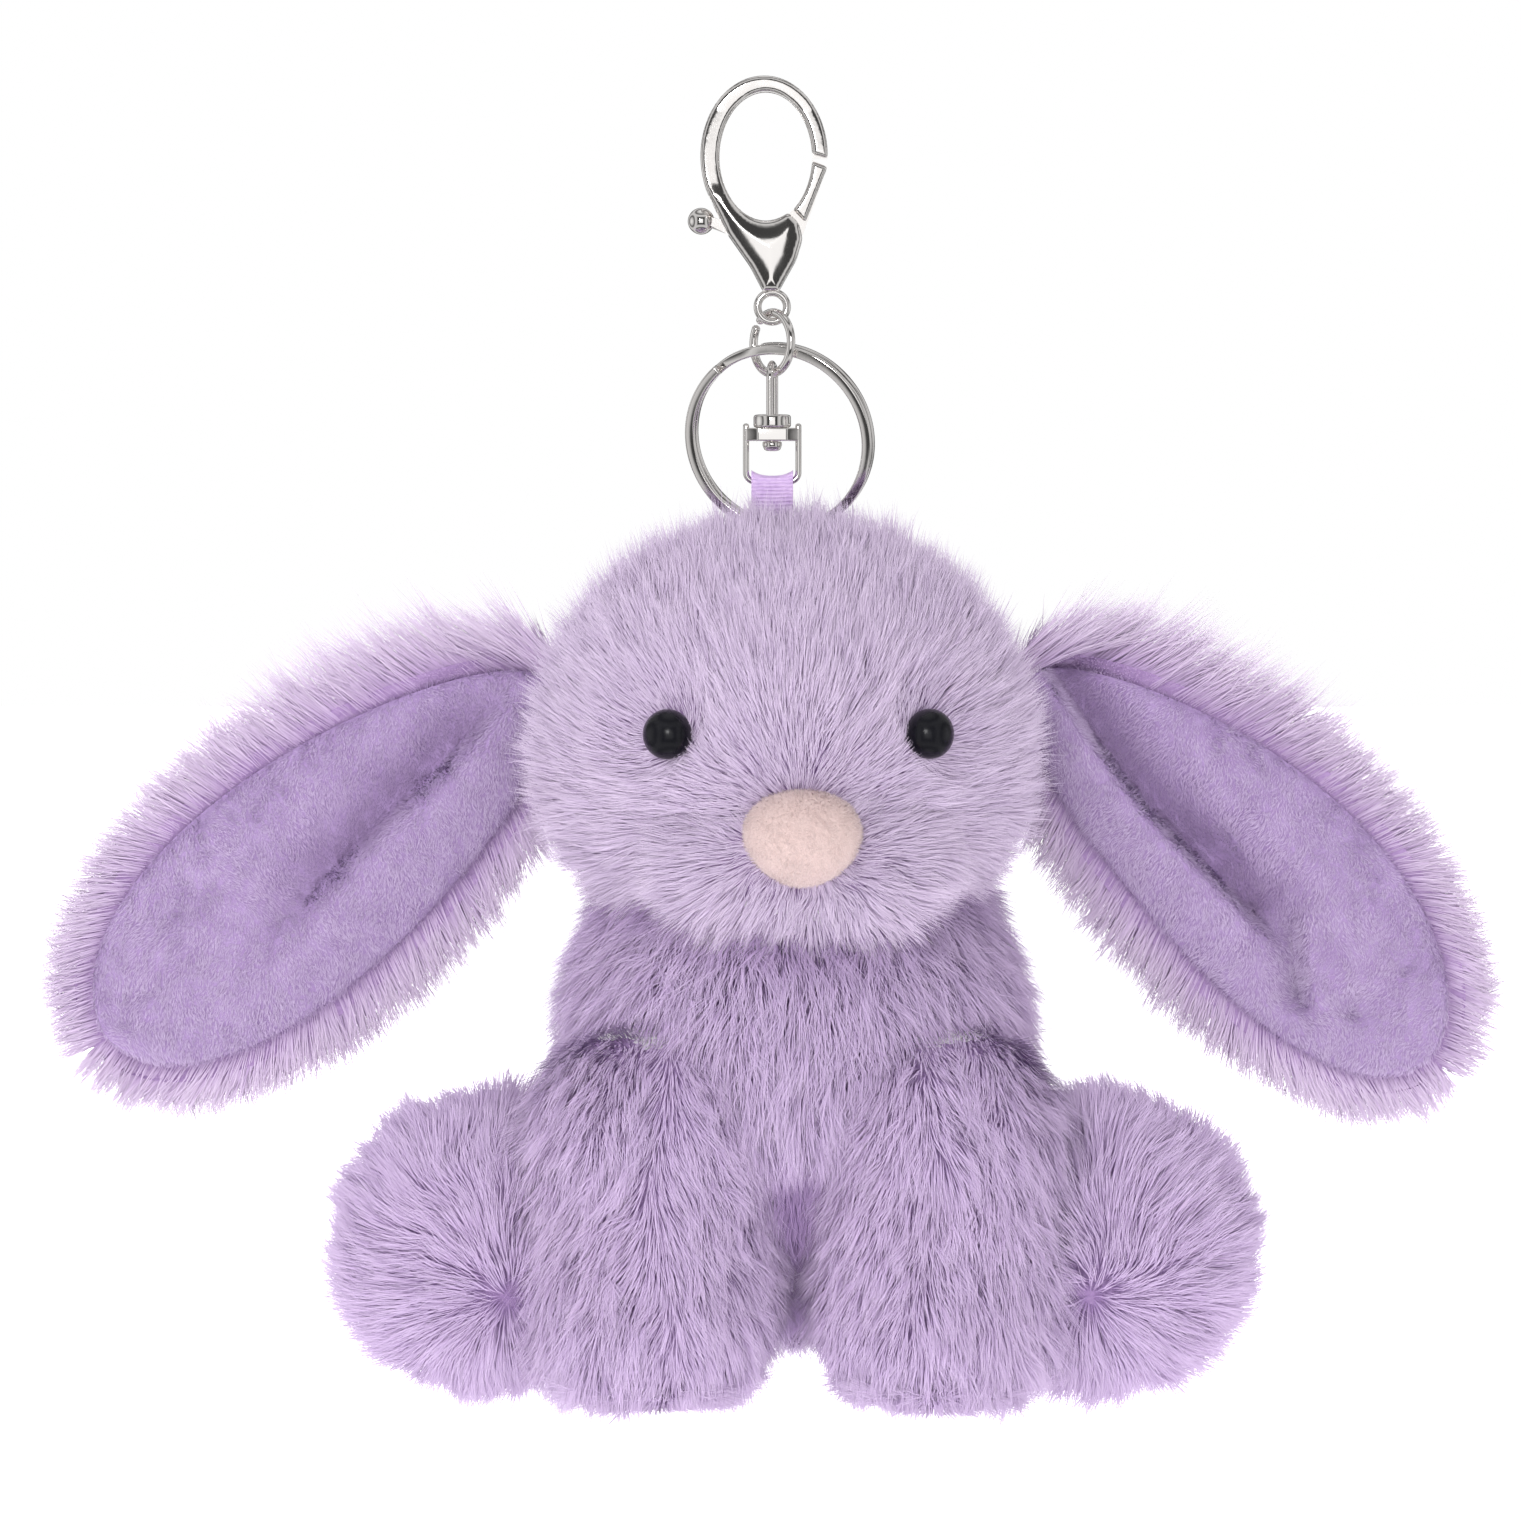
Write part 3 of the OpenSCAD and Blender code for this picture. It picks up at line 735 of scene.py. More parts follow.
def build_tail():
    skin = stuffed(oval_mesh("tail_skin", TAIL, TAIL_R - 0.6), "tail_cover", cap=0.8, voxel=3.0)
    spots, normals = scatter(skin, FUR_PER_MM2, 14, outside("trunk"))
    flow = along(spots - (TAIL + (0, TAIL_R[1], 3)), normals)
    strands("tail_fur", spots, normals, flow, 1.0, 8.4, BODY_FUR, "bunny", 81)


# ---------------------------------------------------------------- ears


def ear_axes(side):
    s = SIDES[side]
    droop = EAR_DROOP[side]
    out = np.array([s * math.cos(droop), 0, -math.sin(droop)])
    up = np.array([s * math.sin(droop), 0, math.cos(droop)])
    return np.array(EAR_ROOT[side], float), out, up


def leaf_half_width(side, s, inset=0.0):
    """Half the ear's width at s along its length, from 0 at the root to 1 at the tip."""
    turn = np.arccos(np.clip(1 - 2 * s, -1, 1))
    return np.maximum((EAR_WIDTH[side] / 2 - inset) * np.sin(turn) * (0.72 + 0.42 * s), 0.02)


def crease(along_ear, across, line, depth, reach_up, reach_down, soft):
    """A fold pressed in along a line of points in mm, with its own reach on each side of the line."""
    line = np.asarray(line, float)
    points = np.stack([along_ear.ravel(), across.ravel()], axis=1)
    nearest = np.full(len(points), 1e9)
    signed = np.zeros(len(points))
    place = np.zeros(len(points))
    steps = np.diff(line, axis=0)
    lengths = np.linalg.norm(steps, axis=1)
    total = lengths.sum()
    done = 0.0
    for a, step, size in zip(line, steps, lengths):
        away = points - a
        t = np.clip(away @ step / size**2, 0, 1)
        gap = away - t[:, None] * step
        distance = np.linalg.norm(gap, axis=1)
        closer = distance < nearest
        nearest[closer] = distance[closer]
        signed[closer] = (distance * np.sign(step[0] * gap[:, 1] - step[1] * gap[:, 0]))[closer]
        place[closer] = ((done + t * size) / total)[closer]
        done += size
    reach = np.where(signed > 0, reach_up, reach_down)
    window = smoothstep(place, -1e-6, soft) * (1 - smoothstep(place, 1 - soft, 1 + 1e-6))
    return (depth * window * np.exp(-((nearest / reach) ** 2))).reshape(along_ear.shape)


# Each lining's folds, the main one first: a line of (along, across) points in mm from the ear's root,
# the depth, the reach above and below the line, and how softly the ends fade. A negative depth is a ridge.
EAR_CREASES = {
    "left": [
        ([(1, 8), (5, 5.2), (12, 3.6), (22.6, 1.6), (40, -0.4), (54, -1.8), (66, -2.6)], 4.6, 6.5, 2.2, 0.32),
        ([(4, 0.5), (22, -3.6), (40, -5.6), (58, -6)], -1.0, 3.5, 4, 0.3),
    ],
    "right": [
        ([(1, 8), (5, 4), (16, 0.4), (30, -2.9), (42.6, -3.9), (55, -4.4), (61, -4.6)], 7.2, 6.5, 1.2, 0.13),
        ([(8, -1), (30, -6.2), (44, -7.8), (56, -8.2)], -1.5, 3.0, 4.5, 0.2),
        ([(56.5, 1.5), (60, -1.8), (66, -6.8), (71, -10.5)], 4.0, 1.1, 4.0, 0.25),
        ([(72, -1), (77, -6)], 1.5, 4, 3.5, 0.4),
        ([(20, 7), (40, 7.5), (60, 6.5), (76, 2)], -0.9, 5, 4, 0.3),
    ],
}


def ear_front(side, s, v):
    """How far the ear's front stands back from its flat face: pillowed, with the folds of each ear."""
    across = v * leaf_half_width(side, s)
    out = -1.9 * (1 - v**2) ** 0.7
    for fold in EAR_CREASES[side]:
        out += crease(s * EAR_LENGTH[side], across, *fold)
    return out + 0.4 * s * v


def ear_surface(side, inset, offset, rows, columns):
    """Points of the ear's front, offset mm behind it, on a grid of rows along it and columns across."""
    root, out, up = ear_axes(side)
    turn = np.linspace(0.06, math.pi - 0.06, rows)[:, None]
    s = (1 - np.cos(turn)) / 2 * np.ones(columns)
    v = np.sin(np.linspace(-math.pi / 2, math.pi / 2, columns))[None, :] * np.ones((rows, 1))
    wide = leaf_half_width(side, s, inset)
    along_ear = inset + s * (EAR_LENGTH[side] - 2 * inset)
    whole_s = along_ear / EAR_LENGTH[side]
    whole_v = v * wide / leaf_half_width(side, whole_s)
    depth = ear_front(side, whole_s, np.clip(whole_v, -1, 1)) + offset(s, v)
    rise = EAR_BOW[side] * np.sin(math.pi * s) + v * wide
    points = root + along_ear[..., None] * out + rise[..., None] * up
    points[..., 1] += depth
    return points


def pad_mesh(name, front, back):
    """A closed pad from two grids of points that share their outline's order."""
    rows, columns = front.shape[:2]
    index = np.arange(rows * columns).reshape(rows, columns)
    shift = rows * columns
    faces = []
    for i in range(rows - 1):
        for j in range(columns - 1):
            a, b, c, d = index[i, j], index[i, j + 1], index[i + 1, j + 1], index[i + 1, j]
            faces.append((a, d, c, b))
            faces.append((a + shift, b + shift, c + shift, d + shift))
    rim = [*index[0, :], *index[1:, -1], *index[-1, -2::-1], *index[-2:0:-1, 0]]
    for a, b in zip(rim, rim[1:] + rim[:1]):
        faces.append((a, b, b + shift, a + shift))
    faces = [tuple(int(k) for k in face) for face in faces]
    return face_outwards(mesh_from(name, np.concatenate([front.reshape(-1, 3), back.reshape(-1, 3)]), faces))


def build_ear(side):
    root, out, up = ear_axes(side)
    body = "ear_" + side
    seed = 100 if side == "left" else 200
    whole = EAR_LENGTH[side]
    front = ear_surface(side, 0, lambda s, v: 1.0 + 1.6 * (1 - v**8), 130, 55)
    back = ear_surface(side, 0, lambda s, v: 3.4 + 1.8 * np.sqrt(1 - v**2 * 0.98), 130, 55)
    skin = link(pad_mesh(body + "_skin", front, back), BACKING, body)
    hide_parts(body + "_back")
    front = ear_surface(side, SEAM, lambda s, v: 1.1 * v**8, 150, 61)
    back = ear_surface(side, SEAM, lambda s, v: 1.5 + 0 * v, 150, 61)
    lining = link(pad_mesh(body + "_lining_skin", front, back), VELOUR, body)
    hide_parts(body + "_lining")

    def place_on_ear(points):
        """Distance along the ear, place across it (-1 and 1 at the seam), and half the lining's width."""
        away = points - root
        reach = away @ out
        s = np.clip((reach - SEAM) / (whole - 2 * SEAM), 0, 1)
        bow = EAR_BOW[side] * np.sin(math.pi * np.clip(reach / whole, 0, 1))
        wide = np.maximum(leaf_half_width(side, s, SEAM), 0.5)
        return reach, (away @ up - bow) / wide, wide

    def border(points, normals):
        """The ear's back and rim, and not what the lining covers."""
        reach, v, _ = place_on_ear(points)
        inner = (np.abs(v) < 1.0) & (reach < whole - SEAM) & (normals[:, 1] < 0.2)
        return np.where(inner, 0, 1)

    spots, normals = scatter(skin, FUR_PER_MM2 * 1.1, seed, border)
    reach, v, _ = place_on_ear(spots)
    tip = smoothstep(reach / whole, 0.55, 1.0)
    # at the rim the fur points away from the ear's middle, in the plane of the ear
    edge = smoothstep(np.abs(v), 0.85, 1.05) * (normals[:, 1] < 0.6)
    edge = np.maximum(edge, (reach > whole - SEAM) * (normals[:, 1] < 0.6))[:, None]
    outward = unit(up * (np.sign(v) * (1 - 0.6 * tip))[:, None] + out * (0.25 + 1.2 * tip)[:, None])
    faced = unit(normals * (1 - 0.72 * edge) + outward * edge)
    flow = along(out * 0.7 + up * (v * 0.9)[:, None], normals) * (1 - edge) + outward * edge
    root_top = (1 - smoothstep(reach, 12, 62)) * (v > 0.3)
    length = 8.4 + 0.8 * edge[:, 0] + 5.5 * root_top * edge[:, 0] - 1.6 * tip * edge[:, 0]
    lean = 1.1 - 0.15 * edge[:, 0]
    soft = unit(faced + edge * (0.0, -1.1, 0.35))
    for part in range(2):
        mine = np.arange(len(spots)) % 2 == part
        strands(f"{body}_fur_{part + 1}", spots[mine], faced[mine], flow[mine], lean[mine], length[mine],
                EAR_FUR, body, seed + 1 + part, shading=soft[mine])
    spots, normals = scatter(lining, PILE_PER_MM2, seed + 5, lambda p, n: n[:, 1] < 0.1)
    brushed = along(out * 0.5 - up * 0.9 + wave_vectors(spots, 18, seed + 9) * 0.6, normals)
    reach, v, wide = place_on_ear(spots)
    # painted shade: pile in the main crease and along the seam stays near its darker root colour
    seam_shade = smoothstep(np.abs(v), 0.93, 1.0)
    line, _, *shape = EAR_CREASES[side][0]
    painted_shade = np.maximum(crease(reach, v * wide, line, 1.0, *shape), 0.7 * seam_shade)
    strands(body + "_pile", spots, normals, brushed, 0.9, 1.3, VELOUR_PILE, body,
            seed + 6, width=0.13, mess=0.25, painted_shade=painted_shade)


build_head()
build_nose()
build_eyes()
build_trunk()
build_legs()
build_tail()
for ear_side in SIDES:
    build_ear(ear_side)

# ---------------------------------------------------------------- metal fittings

# all in mm, where part.scad has the same fittings
CLASP_OVAL = np.array([-1.0, -9.95])
CLASP_INNER = np.array([7.15, 9.95])
CLASP_OUTER_X = -1.25
CLASP_OUTER = np.array([9.7, 12.25])
CLASP_EYE_Z = -32.9
HOOK_FACE = 1.3
HEART_FACE = 2.5
LEVER_FACE = 1.2
THUMB_BALL_R = 2.06
JUMP_RING_Z = -38.41
JUMP_RING_R = 4.65
JUMP_RING_YAW = -52
SPLIT_RING_TOP = -39.22
SPLIT_RING_R = 14.25
SPLIT_RING_TILT = 15
SPLIT_RING_YAW = -18
SWIVEL_BOW_Z = -43.96
SWIVEL_BOW_R = 2.32
SWIVEL_YAW = -9
LOOP_HALF = 4.02
LOOP_BEND = 1.3
BAR_Z = -59.6
RIBBON_HALF = 3.2
RIBBON_TURN = 0.98
RIBBON_THICK = 0.42
RIBBON_FOOT_Z = -74


def on_oval(angles, centre, radii):
    angles = np.radians(angles)
    return np.stack([centre[0] + radii[0] * np.cos(angles), centre[1] + radii[1] * np.sin(angles)], axis=1)


def spread(outline, step):
    """The same closed outline with points about step apart."""
    closed = np.vstack([outline, outline[:1]])
    gaps = np.linalg.norm(np.diff(closed, axis=0), axis=1)
    reach = np.concatenate([[0], np.cumsum(gaps)])
    places = np.linspace(0, reach[-1], int(reach[-1] / step), endpoint=False)
    return np.stack([np.interp(places, reach, closed[:, k]) for k in range(2)], axis=1)


def rounded(outline, step, times):
    """An outline with its corners worn round."""
    points = spread(np.asarray(outline, float), step)
    for _ in range(times):
        points = (np.roll(points, 1, axis=0) + 2 * points + np.roll(points, -1, axis=0)) / 4
    return points


def edge_distance(points, outline):
    out = np.full(len(points), 1e9)
    for start, step in zip(outline, np.roll(outline, -1, axis=0) - outline):
        t = np.clip(((points - start) @ step) / max(step @ step, 1e-12), 0, 1)
        out = np.minimum(out, np.linalg.norm(points - start - t[:, None] * step, axis=1))
    return out


def plate_mesh(name, outline, sign, face, height):
    """A crowned plate on the XZ outline. face(points) is the height of the flat metal that it stands on."""
    ahead, behind = np.roll(outline, -1, axis=0), np.roll(outline, 1, axis=0)
    tangent = ahead - behind
    inward = unit(np.stack([-tangent[:, 1], tangent[:, 0]], axis=1))
    area = (outline[:, 0] * ahead[:, 1] - outline[:, 1] * ahead[:, 0]).sum()
    inward *= math.copysign(1, area)
    outline = outline - inward * 0.04
    extra = []
    for depth in (0.04, 0.12, 0.26, 0.45, 0.7):
        ring = outline + inward * depth
        extra.append(ring[edge_distance(ring, outline) > depth * 0.93])
    low, high = outline.min(0), outline.max(0)
    columns, rows = (np.arange(low[k], high[k], 0.3) for k in range(2))
    extra.append(np.stack(np.meshgrid(columns, rows), axis=-1).reshape(-1, 2))
    extra = np.concatenate(extra)
    extra = extra[inside_outline(extra, outline)]
    extra = extra[edge_distance(extra, outline) > 0.03]
    count = len(outline)
    points = [Vector(p) for p in np.concatenate([outline, extra])]
    made = delaunay_2d_cdt(points, [(i, (i + 1) % count) for i in range(count)], [], 1, 1e-5)
    flat = np.array([tuple(v) for v in made[0]])
    far = edge_distance(flat, outline)
    top = sign * (face(flat) + height(flat, far))
    verts = np.stack([flat[:, 0], top, flat[:, 1]], axis=1)
    below = sign * np.where(outline[:, 1] < -15, face(outline) - 0.9, np.minimum(face(outline), 1.0) - 0.1)
    verts = np.concatenate([verts, np.stack([outline[:, 0], below, outline[:, 1]], axis=1)])
    came_from = {origin: k for k, origins in enumerate(made[3]) for origin in origins}
    rim = [came_from[i] for i in range(count)]
    base = len(flat)
    faces = [tuple(f) for f in made[2]]
    faces += [(rim[i], rim[(i + 1) % count], base + (i + 1) % count, base + i) for i in range(count)]
    faces += [tuple(base + i for i in range(count))]
    return face_outwards(mesh_from(name, verts, faces), split_large=True)


def inside_outline(points, outline):
    inside = np.zeros(len(points), bool)
    for (x1, y1), (x2, y2) in zip(outline, np.roll(outline, -1, axis=0)):
        crosses = (y1 > points[:, 1]) != (y2 > points[:, 1])
        slope = (x2 - x1) * (points[:, 1] - y1) / (y2 - y1 if y2 != y1 else 1e-9) + x1
        inside ^= crosses & (points[:, 0] < slope)
    return inside


def bevel_height(flat_height, radius):
    """A plate's height with a rounded edge of the given radius."""
    def height(points, far):
        edge = np.clip(far / radius, 0, 1)
        return flat_height * np.sqrt(1 - (1 - edge) ** 2)
    return height


def sweep_mesh(name, path, across, section, closed=False, tips=True):
    """Carries a section along a path whose plane, or axis, is across; open ends close in a round tip."""
    path = np.asarray(path, float)
    if closed:
        ahead = unit(np.roll(path, -1, axis=0) - np.roll(path, 1, axis=0))
    else:
        ahead = unit(np.gradient(path, axis=0))
    side = unit(np.cross(ahead, np.asarray(across, float)))
    up = np.cross(side, ahead)
    rings = path[:, None] + section[None, :, :1] * side[:, None] + section[None, :, 1:] * up[:, None]
    if not closed and tips:
        size = np.abs(section).max() * 0.8
        ends = []
        for end, way in ((0, -1), (-1, 1)):
            cap = []
            for angle in np.radians((25, 50, 72, 88)):
                middle_point = path[end] + ahead[end] * way * size * math.sin(angle)
                cap.append(middle_point + (rings[end] - path[end]) * math.cos(angle))
            ends.append(cap)
        rings = np.concatenate([np.array(ends[0])[::-1], rings, np.array(ends[1])])
    rows, columns = rings.shape[:2]
    faces = []
    for i in range(rows if closed else rows - 1):
        this, following = i * columns, (i + 1) % rows * columns
        for j in range(columns):
            k = (j + 1) % columns
            faces.append((this + j, this + k, following + k, following + j))
    if not closed:
        faces.append(tuple(range(columns)))
        faces.append(tuple((rows - 1) * columns + j for j in range(columns)))
    return face_outwards(mesh_from(name, rings.reshape(-1, 3), faces))


def round_section(radius, sides=20):
    angles = np.arange(sides) * TAU / sides
    return np.stack([np.cos(angles), np.sin(angles)], axis=1) * radius


def strip_section(width, height, corner, steps=4):
    """A flat strip's section with round corners."""
    points = []
    for quarter, (sx, sy) in enumerate(((1, 1), (-1, 1), (-1, -1), (1, -1))):
        for k in range(steps + 1):
            angle = math.pi / 2 * (quarter + k / steps)
            points.append((sx * (width / 2 - corner) + corner * math.cos(angle),
                           sy * (height / 2 - corner) + corner * math.sin(angle)))
    return np.array(points)


def lathe_mesh(name, centre, profile, sides=48):
    """Turns a profile of (radius, height) about the vertical through centre."""
    angles = np.arange(sides) * TAU / sides
    rings = [np.stack([r * np.cos(angles), r * np.sin(angles), 0 * angles + z], axis=1) for r, z in profile]
    points = np.concatenate(rings) + centre
    faces = []
    for i in range(len(profile) - 1):
        for j in range(sides):
            k = (j + 1) % sides
            faces.append((i * sides + j, i * sides + k, (i + 1) * sides + k, (i + 1) * sides + j))
    faces.append(tuple(range(sides))[::-1])
    faces.append(tuple((len(profile) - 1) * sides + j for j in range(sides)))
    return mesh_from(name, points, faces)


def turned(points, degrees, axis, about=(0, 0, 0)):
    turn = np.array(Matrix.Rotation(math.radians(degrees), 3, axis))
    return (np.asarray(points, float) - about) @ turn.T + about


def metal(mesh, body, *nodes):
    piece = link(mesh, NICKEL, body)
    if nodes:
        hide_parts(*nodes)


def build_clasp():
    """Rounded faces for the hook, the heart and the gate, on the cast parts, with the eye and thumb arm."""
    # one outline: over the hook from the gate's end, down the heart's left side, round its foot and back
    # up inside the hook
    cast = np.concatenate([
        on_oval(np.linspace(-1.5, 205, 110), (CLASP_OUTER_X, CLASP_OVAL[1]), CLASP_OUTER),
        [(-6.9, -21.6), (-3.4, -26.6), (-1.3, -30.6), (0.9, -30.6)],
        [(3.7, -25.6), (4.6, -22.6), (4.1, -20.4), (2.5, -18.7)],
        on_oval(np.linspace(-61, -358, 150), CLASP_OVAL, CLASP_INNER)])
    cast = rounded(cast, 0.3, 3)
    gate_arc = on_oval(np.linspace(-54, -4.5, 20), CLASP_OVAL, CLASP_INNER + (0, 0.15))
    gate = rounded(np.concatenate([gate_arc, [(8.4, -11.6), (5.05, -20.0)]]), 0.3, 2)

    def cast_face(points):
        return HOOK_FACE + (HEART_FACE - HOOK_FACE) * np.clip((-3 - points[:, 1]) / 13, 0, 1)

    def cast_height(points, far):
        in_heart = 1 - smoothstep(points[:, 1], -19, -14)
        dome = in_heart * 0.8 * np.tanh(far / 3)
        return bevel_height(0.5, 0.8)(points, far) + dome

    def gate_face(points):
        return np.full(len(points), LEVER_FACE)

    for side, sign in (("front", -1), ("back", 1)):
        metal(plate_mesh("clasp_face_" + side, cast, sign, cast_face, cast_height), "clasp")
        metal(plate_mesh("gate_" + side, gate, sign, gate_face, bevel_height(0.55, 0.7)), "lever")
    arm = np.linspace((-9.6, 0, -19.85), (-3.4, 0, -22.2), 16)
    metal(sweep_mesh("thumb_arm", arm, (0, 1, 0), round_section(0.85)), "lever")
    rise = np.linspace(-math.pi / 2, math.pi / 2, 33)
    ball = [(max(THUMB_BALL_R * math.cos(a), 0.02), THUMB_BALL_R * math.sin(a)) for a in rise]
    metal(lathe_mesh("thumb_ball", (-10.9, 0, -19.8), ball), "lever")
    around = np.linspace(0, TAU, 64, endpoint=False)
    ring = np.stack([2.25 * np.cos(around), 0 * around, CLASP_EYE_Z + 2.25 * np.sin(around)], axis=1)
    metal(sweep_mesh("clasp_eye", ring, (0, 1, 0), round_section(0.62), closed=True), "clasp")


def build_rings():
    """The open jump ring, and the split ring's two turns of flat strip."""
    angles = np.radians(np.linspace(149.5, 490.5, 120))
    ring = JUMP_RING_R * np.stack([np.cos(angles), 0 * angles, np.sin(angles)], axis=1)
    ring = turned(ring, JUMP_RING_YAW, "Z") + (0, 0, JUMP_RING_Z)
    plane = turned([(0, 1, 0)], JUMP_RING_YAW, "Z")[0]
    metal(sweep_mesh("jump_ring_wire", ring, plane, round_section(0.66)), "jump_ring", "jump_ring")
    # each turn lies 0.69 mm from the ring's middle plane, and the strip crosses over at the top left
    start = 128
    angles = np.linspace(start, start + 2 * 360 - 31, 480)
    side_step = 0.69 - 1.38 * smoothstep(angles, start + 330, start + 362)
    radians = np.radians(angles)
    x, z = SPLIT_RING_R * np.cos(radians), SPLIT_RING_R * (np.sin(radians) - 1)
    ring = np.stack([x, -side_step, z], axis=1)
    ring = turned(turned(ring, SPLIT_RING_TILT, "X"), SPLIT_RING_YAW, "Z") + (0, 0, SPLIT_RING_TOP)
    plane = turned(turned([(0, 1, 0)], SPLIT_RING_TILT, "X"), SPLIT_RING_YAW, "Z")[0]
    strip = sweep_mesh("split_ring_strip", ring, plane, strip_section(1.5, 1.3, 0.3), tips=False)
    metal(strip, "split_ring", "split_ring")


def build_swivel():
    """The wire eye with its collar and rivet, which turns in the block of the D-loop."""
    arch = np.radians(np.linspace(0, 180, 30))
    bow = np.stack([0 * arch, SWIVEL_BOW_R * np.cos(arch), SWIVEL_BOW_R * np.sin(arch)], axis=1)
    bow += (0, 0, SWIVEL_BOW_Z)
    legs = np.linspace(-49.6, -44.1, 12)
    right = np.stack([0 * legs, 0 * legs + SWIVEL_BOW_R, legs], axis=1)
    left = np.stack([0 * legs, 0 * legs - SWIVEL_BOW_R, legs[::-1]], axis=1)
    wire = turned(np.concatenate([right, bow, left]), SWIVEL_YAW, "Z")
    plane = turned([(1, 0, 0)], SWIVEL_YAW, "Z")[0]
    metal(sweep_mesh("swivel_wire", wire, plane, round_section(0.56)), "swivel", "swivel_eye")
    collar = [(0.9, -51.4), (2.6, -51.4), (2.82, -51.28), (2.9, -51.05), (2.9, -49.75), (2.82, -49.52),
              (2.6, -49.4), (1.2, -49.4), (0.9, -49.55)]
    metal(lathe_mesh("swivel_collar", (0, 0, 0), collar), "swivel")
    head = [(0.9, -50.6), (0.9, -53.5), (1.36, -53.52), (1.5, -53.66), (1.5, -54.1), (1.25, -54.75),
            (0.95, -54.93), (0.4, -55.0)]
    metal(lathe_mesh("swivel_rivet_head", (0, 0, 0), head), "swivel", "swivel_rivet")
    outline = [(-LOOP_HALF, -1.1), (-2.2, -2.2), (2.2, -2.2), (LOOP_HALF, -1.1),
               (LOOP_HALF, 1.1), (2.2, 2.2), (-2.2, 2.2), (-LOOP_HALF, 1.1)]
    mesh = bpy.data.meshes.new("swivel_block")
    bm = bmesh.new()
    foot = [bm.verts.new((x * MM, y * MM, -53.45 * MM)) for x, y in outline]
    slab = bm.faces.new(foot)
    raised = bmesh.ops.extrude_face_region(bm, geom=[slab])["geom"]
    for vert in raised:
        if isinstance(vert, bmesh.types.BMVert):
            vert.co.z = -51.45 * MM
    bmesh.ops.recalc_face_normals(bm, faces=bm.faces)
    bmesh.ops.bevel(bm, geom=bm.edges, offset=0.22 * MM, segments=3, profile=0.6, affect="EDGES")
    bm.to_mesh(mesh)
    bm.free()
    metal(mesh, "yoke", "swivel_yoke")
    bend_x = LOOP_HALF - LOOP_BEND
    bend_z = BAR_Z + LOOP_BEND
    turn = np.radians(np.linspace(0, 90, 10))
    side = np.linspace(-51.1, bend_z, 14)
    path = [(LOOP_HALF, 0, z) for z in side]
    path += [(bend_x + LOOP_BEND * math.cos(a), 0, bend_z - LOOP_BEND * math.sin(a)) for a in turn[1:]]
    path += [(x, 0, BAR_Z) for x in np.linspace(2.4, -2.4, 12)]
    path += [(-bend_x - LOOP_BEND * math.sin(a), 0, bend_z - LOOP_BEND * math.cos(a)) for a in turn[:-1]]
    path += [(-LOOP_HALF, 0, z) for z in side[::-1]]
    metal(sweep_mesh("d_loop", path, (0, 1, 0), round_section(0.48, 16)), "yoke")


def build_ribbon():
    """Woven strap around the D-loop's bar, with both ends sewn into the head; its edges ride up the bends."""
    across = np.linspace(-RIBBON_HALF, RIBBON_HALF, 33)
    straight = np.linspace(RIBBON_FOOT_Z, BAR_Z - 0.2, 72)
    outer = [(-RIBBON_TURN, z) for z in straight]
    outer += [(-RIBBON_TURN * math.cos(a), BAR_Z + RIBBON_TURN * math.sin(a))
              for a in np.radians(np.linspace(0, 180, 17))]
    outer += [(RIBBON_TURN, z) for z in straight[::-1]]
    outer = np.array(outer)
    distance = np.cumsum(np.r_[0, np.linalg.norm(np.diff(outer, axis=0), axis=1)])
    ribs = 0.045 * np.sin(TAU * distance / 0.62)[:, None]
    rise = 0.85 * (np.abs(across) / RIBBON_HALF) ** 2.5 - 0.12
    selvage = 0.09 * np.exp(-(((RIBBON_HALF - np.abs(across)) / 0.3) ** 2))
    around_bar = outer[:, 1] > BAR_Z - 0.1
    sheets = []
    for depth in (0.0, RIBBON_THICK):
        line = outer.copy()
        line[:, 0] -= np.where(around_bar, 0, np.sign(line[:, 0]) * depth)
        away = unit(line - (0, BAR_Z))
        line[around_bar] -= away[around_bar] * depth
        outwards = np.sign(line[:, :1])
        sheet = np.zeros((len(line), len(across), 3))
        sheet[..., 0] = across
        sheet[..., 1] = line[:, :1] + (selvage + (ribs if depth == 0 else 0)) * outwards
        sheet[..., 2] = line[:, 1:] + smoothstep(line[:, 1], -66, -59)[:, None] * rise
        sheets.append(sheet)
    strap = link(pad_mesh("ribbon_strap", *sheets), RIBBON, "bunny")
    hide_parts("ribbon_loop")


build_clasp()
build_rings()
build_swivel()
build_ribbon()

# ---------------------------------------------------------------- carried-over nodes

OTHER_MATERIALS = {"eye_washer_left": WASHER, "eye_washer_right": WASHER, "clasp_spring": STEEL}
for node_name, node_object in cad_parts.items():
    material = FILL if node_name.endswith("_stuffing") else OTHER_MATERIALS.get(node_name, NICKEL)
    for place in node_object.material_slots:
        place.material = material

# ---------------------------------------------------------------- studio

FRAME_WIDTH = 0.234  # what the picture spans at the object
LENS = 120
CAMERA_DISTANCE = FRAME_WIDTH * LENS / 36
ELEVATION = math.radians(2)
WORLD_STRENGTH = 0.55
KEY_POWER = 5
AIM = Vector((-0.0018, 0, -0.1025))


def area_light(name, place, power, size, in_metal=False):
    data = bpy.data.lights.new(name, "AREA")
    data.energy = power
    data.size = size
    lamp = bpy.data.objects.new(name, data)
    bpy.context.scene.collection.objects.link(lamp)
    lamp.location = place
    lamp.visible_glossy = in_metal
    lamp.rotation_euler = (AIM - Vector(place)).to_track_quat("-Z", "Y").to_euler()


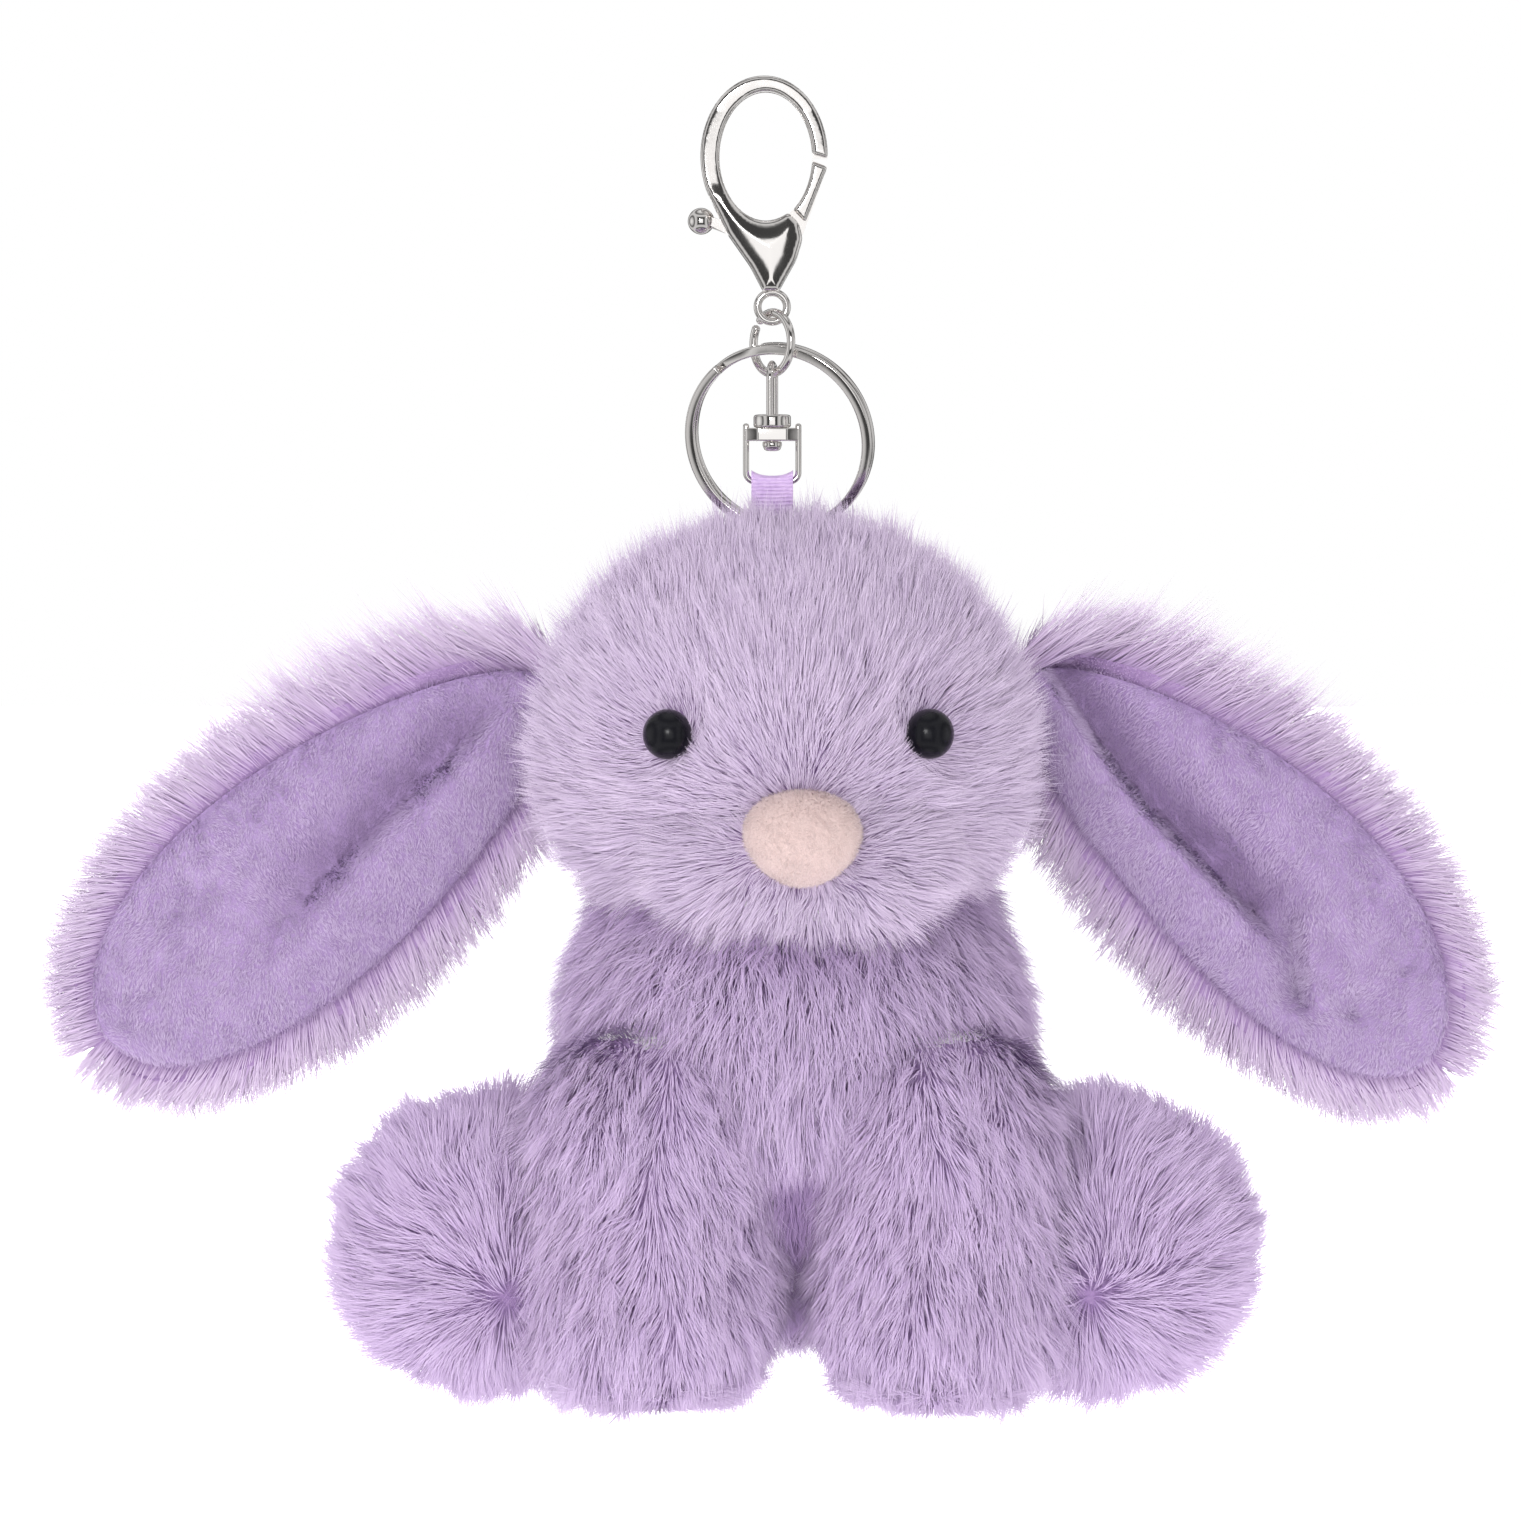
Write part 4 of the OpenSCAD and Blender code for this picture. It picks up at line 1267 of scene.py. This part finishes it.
def build_world():
    """White to the camera, even soft light on cloth and fur, and a room with a window for metal and eyes."""
    world = bpy.data.worlds.new("studio")
    bpy.context.scene.world = world
    world.use_nodes = True
    n = Tree(world.node_tree)
    n.tree.nodes.clear()

    def distance(source, operation, other=None):
        node = n.add("ShaderNodeMath", operation=operation)
        n.link(source, node.inputs[0])
        if other is not None:
            n.link(other, node.inputs[1])
        return node.outputs[0]

    def background(strength):
        node = n.add("ShaderNodeBackground")
        node.inputs["Color"].default_value = (1, 1, 1, 1)
        node.inputs["Strength"].default_value = strength
        return node

    def choose(ray, otherwise, seen_by_ray):
        node = n.add("ShaderNodeMixShader")
        n.link(rays.outputs[ray], node.inputs[0])
        n.link(otherwise.outputs[0], node.inputs[1])
        n.link(seen_by_ray.outputs[0], node.inputs[2])
        return node

    # metal sees a square window ahead and behind, with a dark frame and pale walls round it
    split = n.add("ShaderNodeSeparateXYZ")
    n.link(n.add("ShaderNodeTexCoord").outputs["Generated"], split.inputs[0])
    side = distance(split.outputs["X"], "ABSOLUTE")
    height = distance(split.outputs["Z"], "ABSOLUTE")
    tones = ((0.0, 1.0), (0.27, 1.0), (0.31, 0.05), (0.48, 0.05),
             (0.58, 0.5), (0.74, 0.65), (0.86, 0.06), (1.0, 0.8))
    window = n.ramp(distance(side, "MAXIMUM", height), [(place, (tone,) * 3) for place, tone in tones])
    room = background(1.0)
    n.link(window, room.inputs["Color"])
    rays = n.add("ShaderNodeLightPath")
    reflected = choose("Is Glossy Ray", background(WORLD_STRENGTH), room)
    seen = choose("Is Camera Ray", reflected, background(1.0))
    n.link(seen.outputs[0], n.add("ShaderNodeOutputWorld").inputs["Surface"])


def build_floor():
    floor = bpy.data.objects.new("floor", bpy.data.meshes.new("floor"))
    bm = bmesh.new()
    bmesh.ops.create_grid(bm, x_segments=1, y_segments=1, size=6)
    bm.to_mesh(floor.data)
    bm.free()
    floor.location.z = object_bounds()[0].z - 0.035
    n = Surface("floor")
    n.set(Base_Color=(0.9, 0.9, 0.9, 1), Roughness=0.95)
    n.set(Emission_Color=(1, 1, 1, 1), Emission_Strength=1.0)
    floor.data.materials.append(n.material)
    bpy.context.scene.collection.objects.link(floor)
    floor.visible_glossy = False


def build_studio():
    scene = bpy.context.scene
    camera = bpy.data.objects.new("camera", bpy.data.cameras.new("camera"))
    scene.collection.objects.link(camera)
    camera.data.lens = LENS
    camera.data.clip_end = 20
    back = Vector((0, -math.cos(ELEVATION), math.sin(ELEVATION)))
    camera.location = AIM + back * CAMERA_DISTANCE
    camera.rotation_euler = (-back).to_track_quat("-Z", "Y").to_euler()
    scene.camera = camera
    build_floor()
    build_world()
    area_light("key", (-0.5, -0.7, 0.5), KEY_POWER, 0.5)
    area_light("window", (-0.14, -0.92, 0.12), KEY_POWER * 0.3, 0.16, in_metal=True)
    area_light("fill", (0.6, -0.75, -0.05), KEY_POWER * 0.5, 0.7)
    area_light("top", (0.0, 0.05, 0.75), KEY_POWER * 0.4, 0.7)
    area_light("back", (0.1, 0.9, 0.3), KEY_POWER * 0.8, 0.6)
    scene.view_settings.view_transform = "Standard"


build_studio()
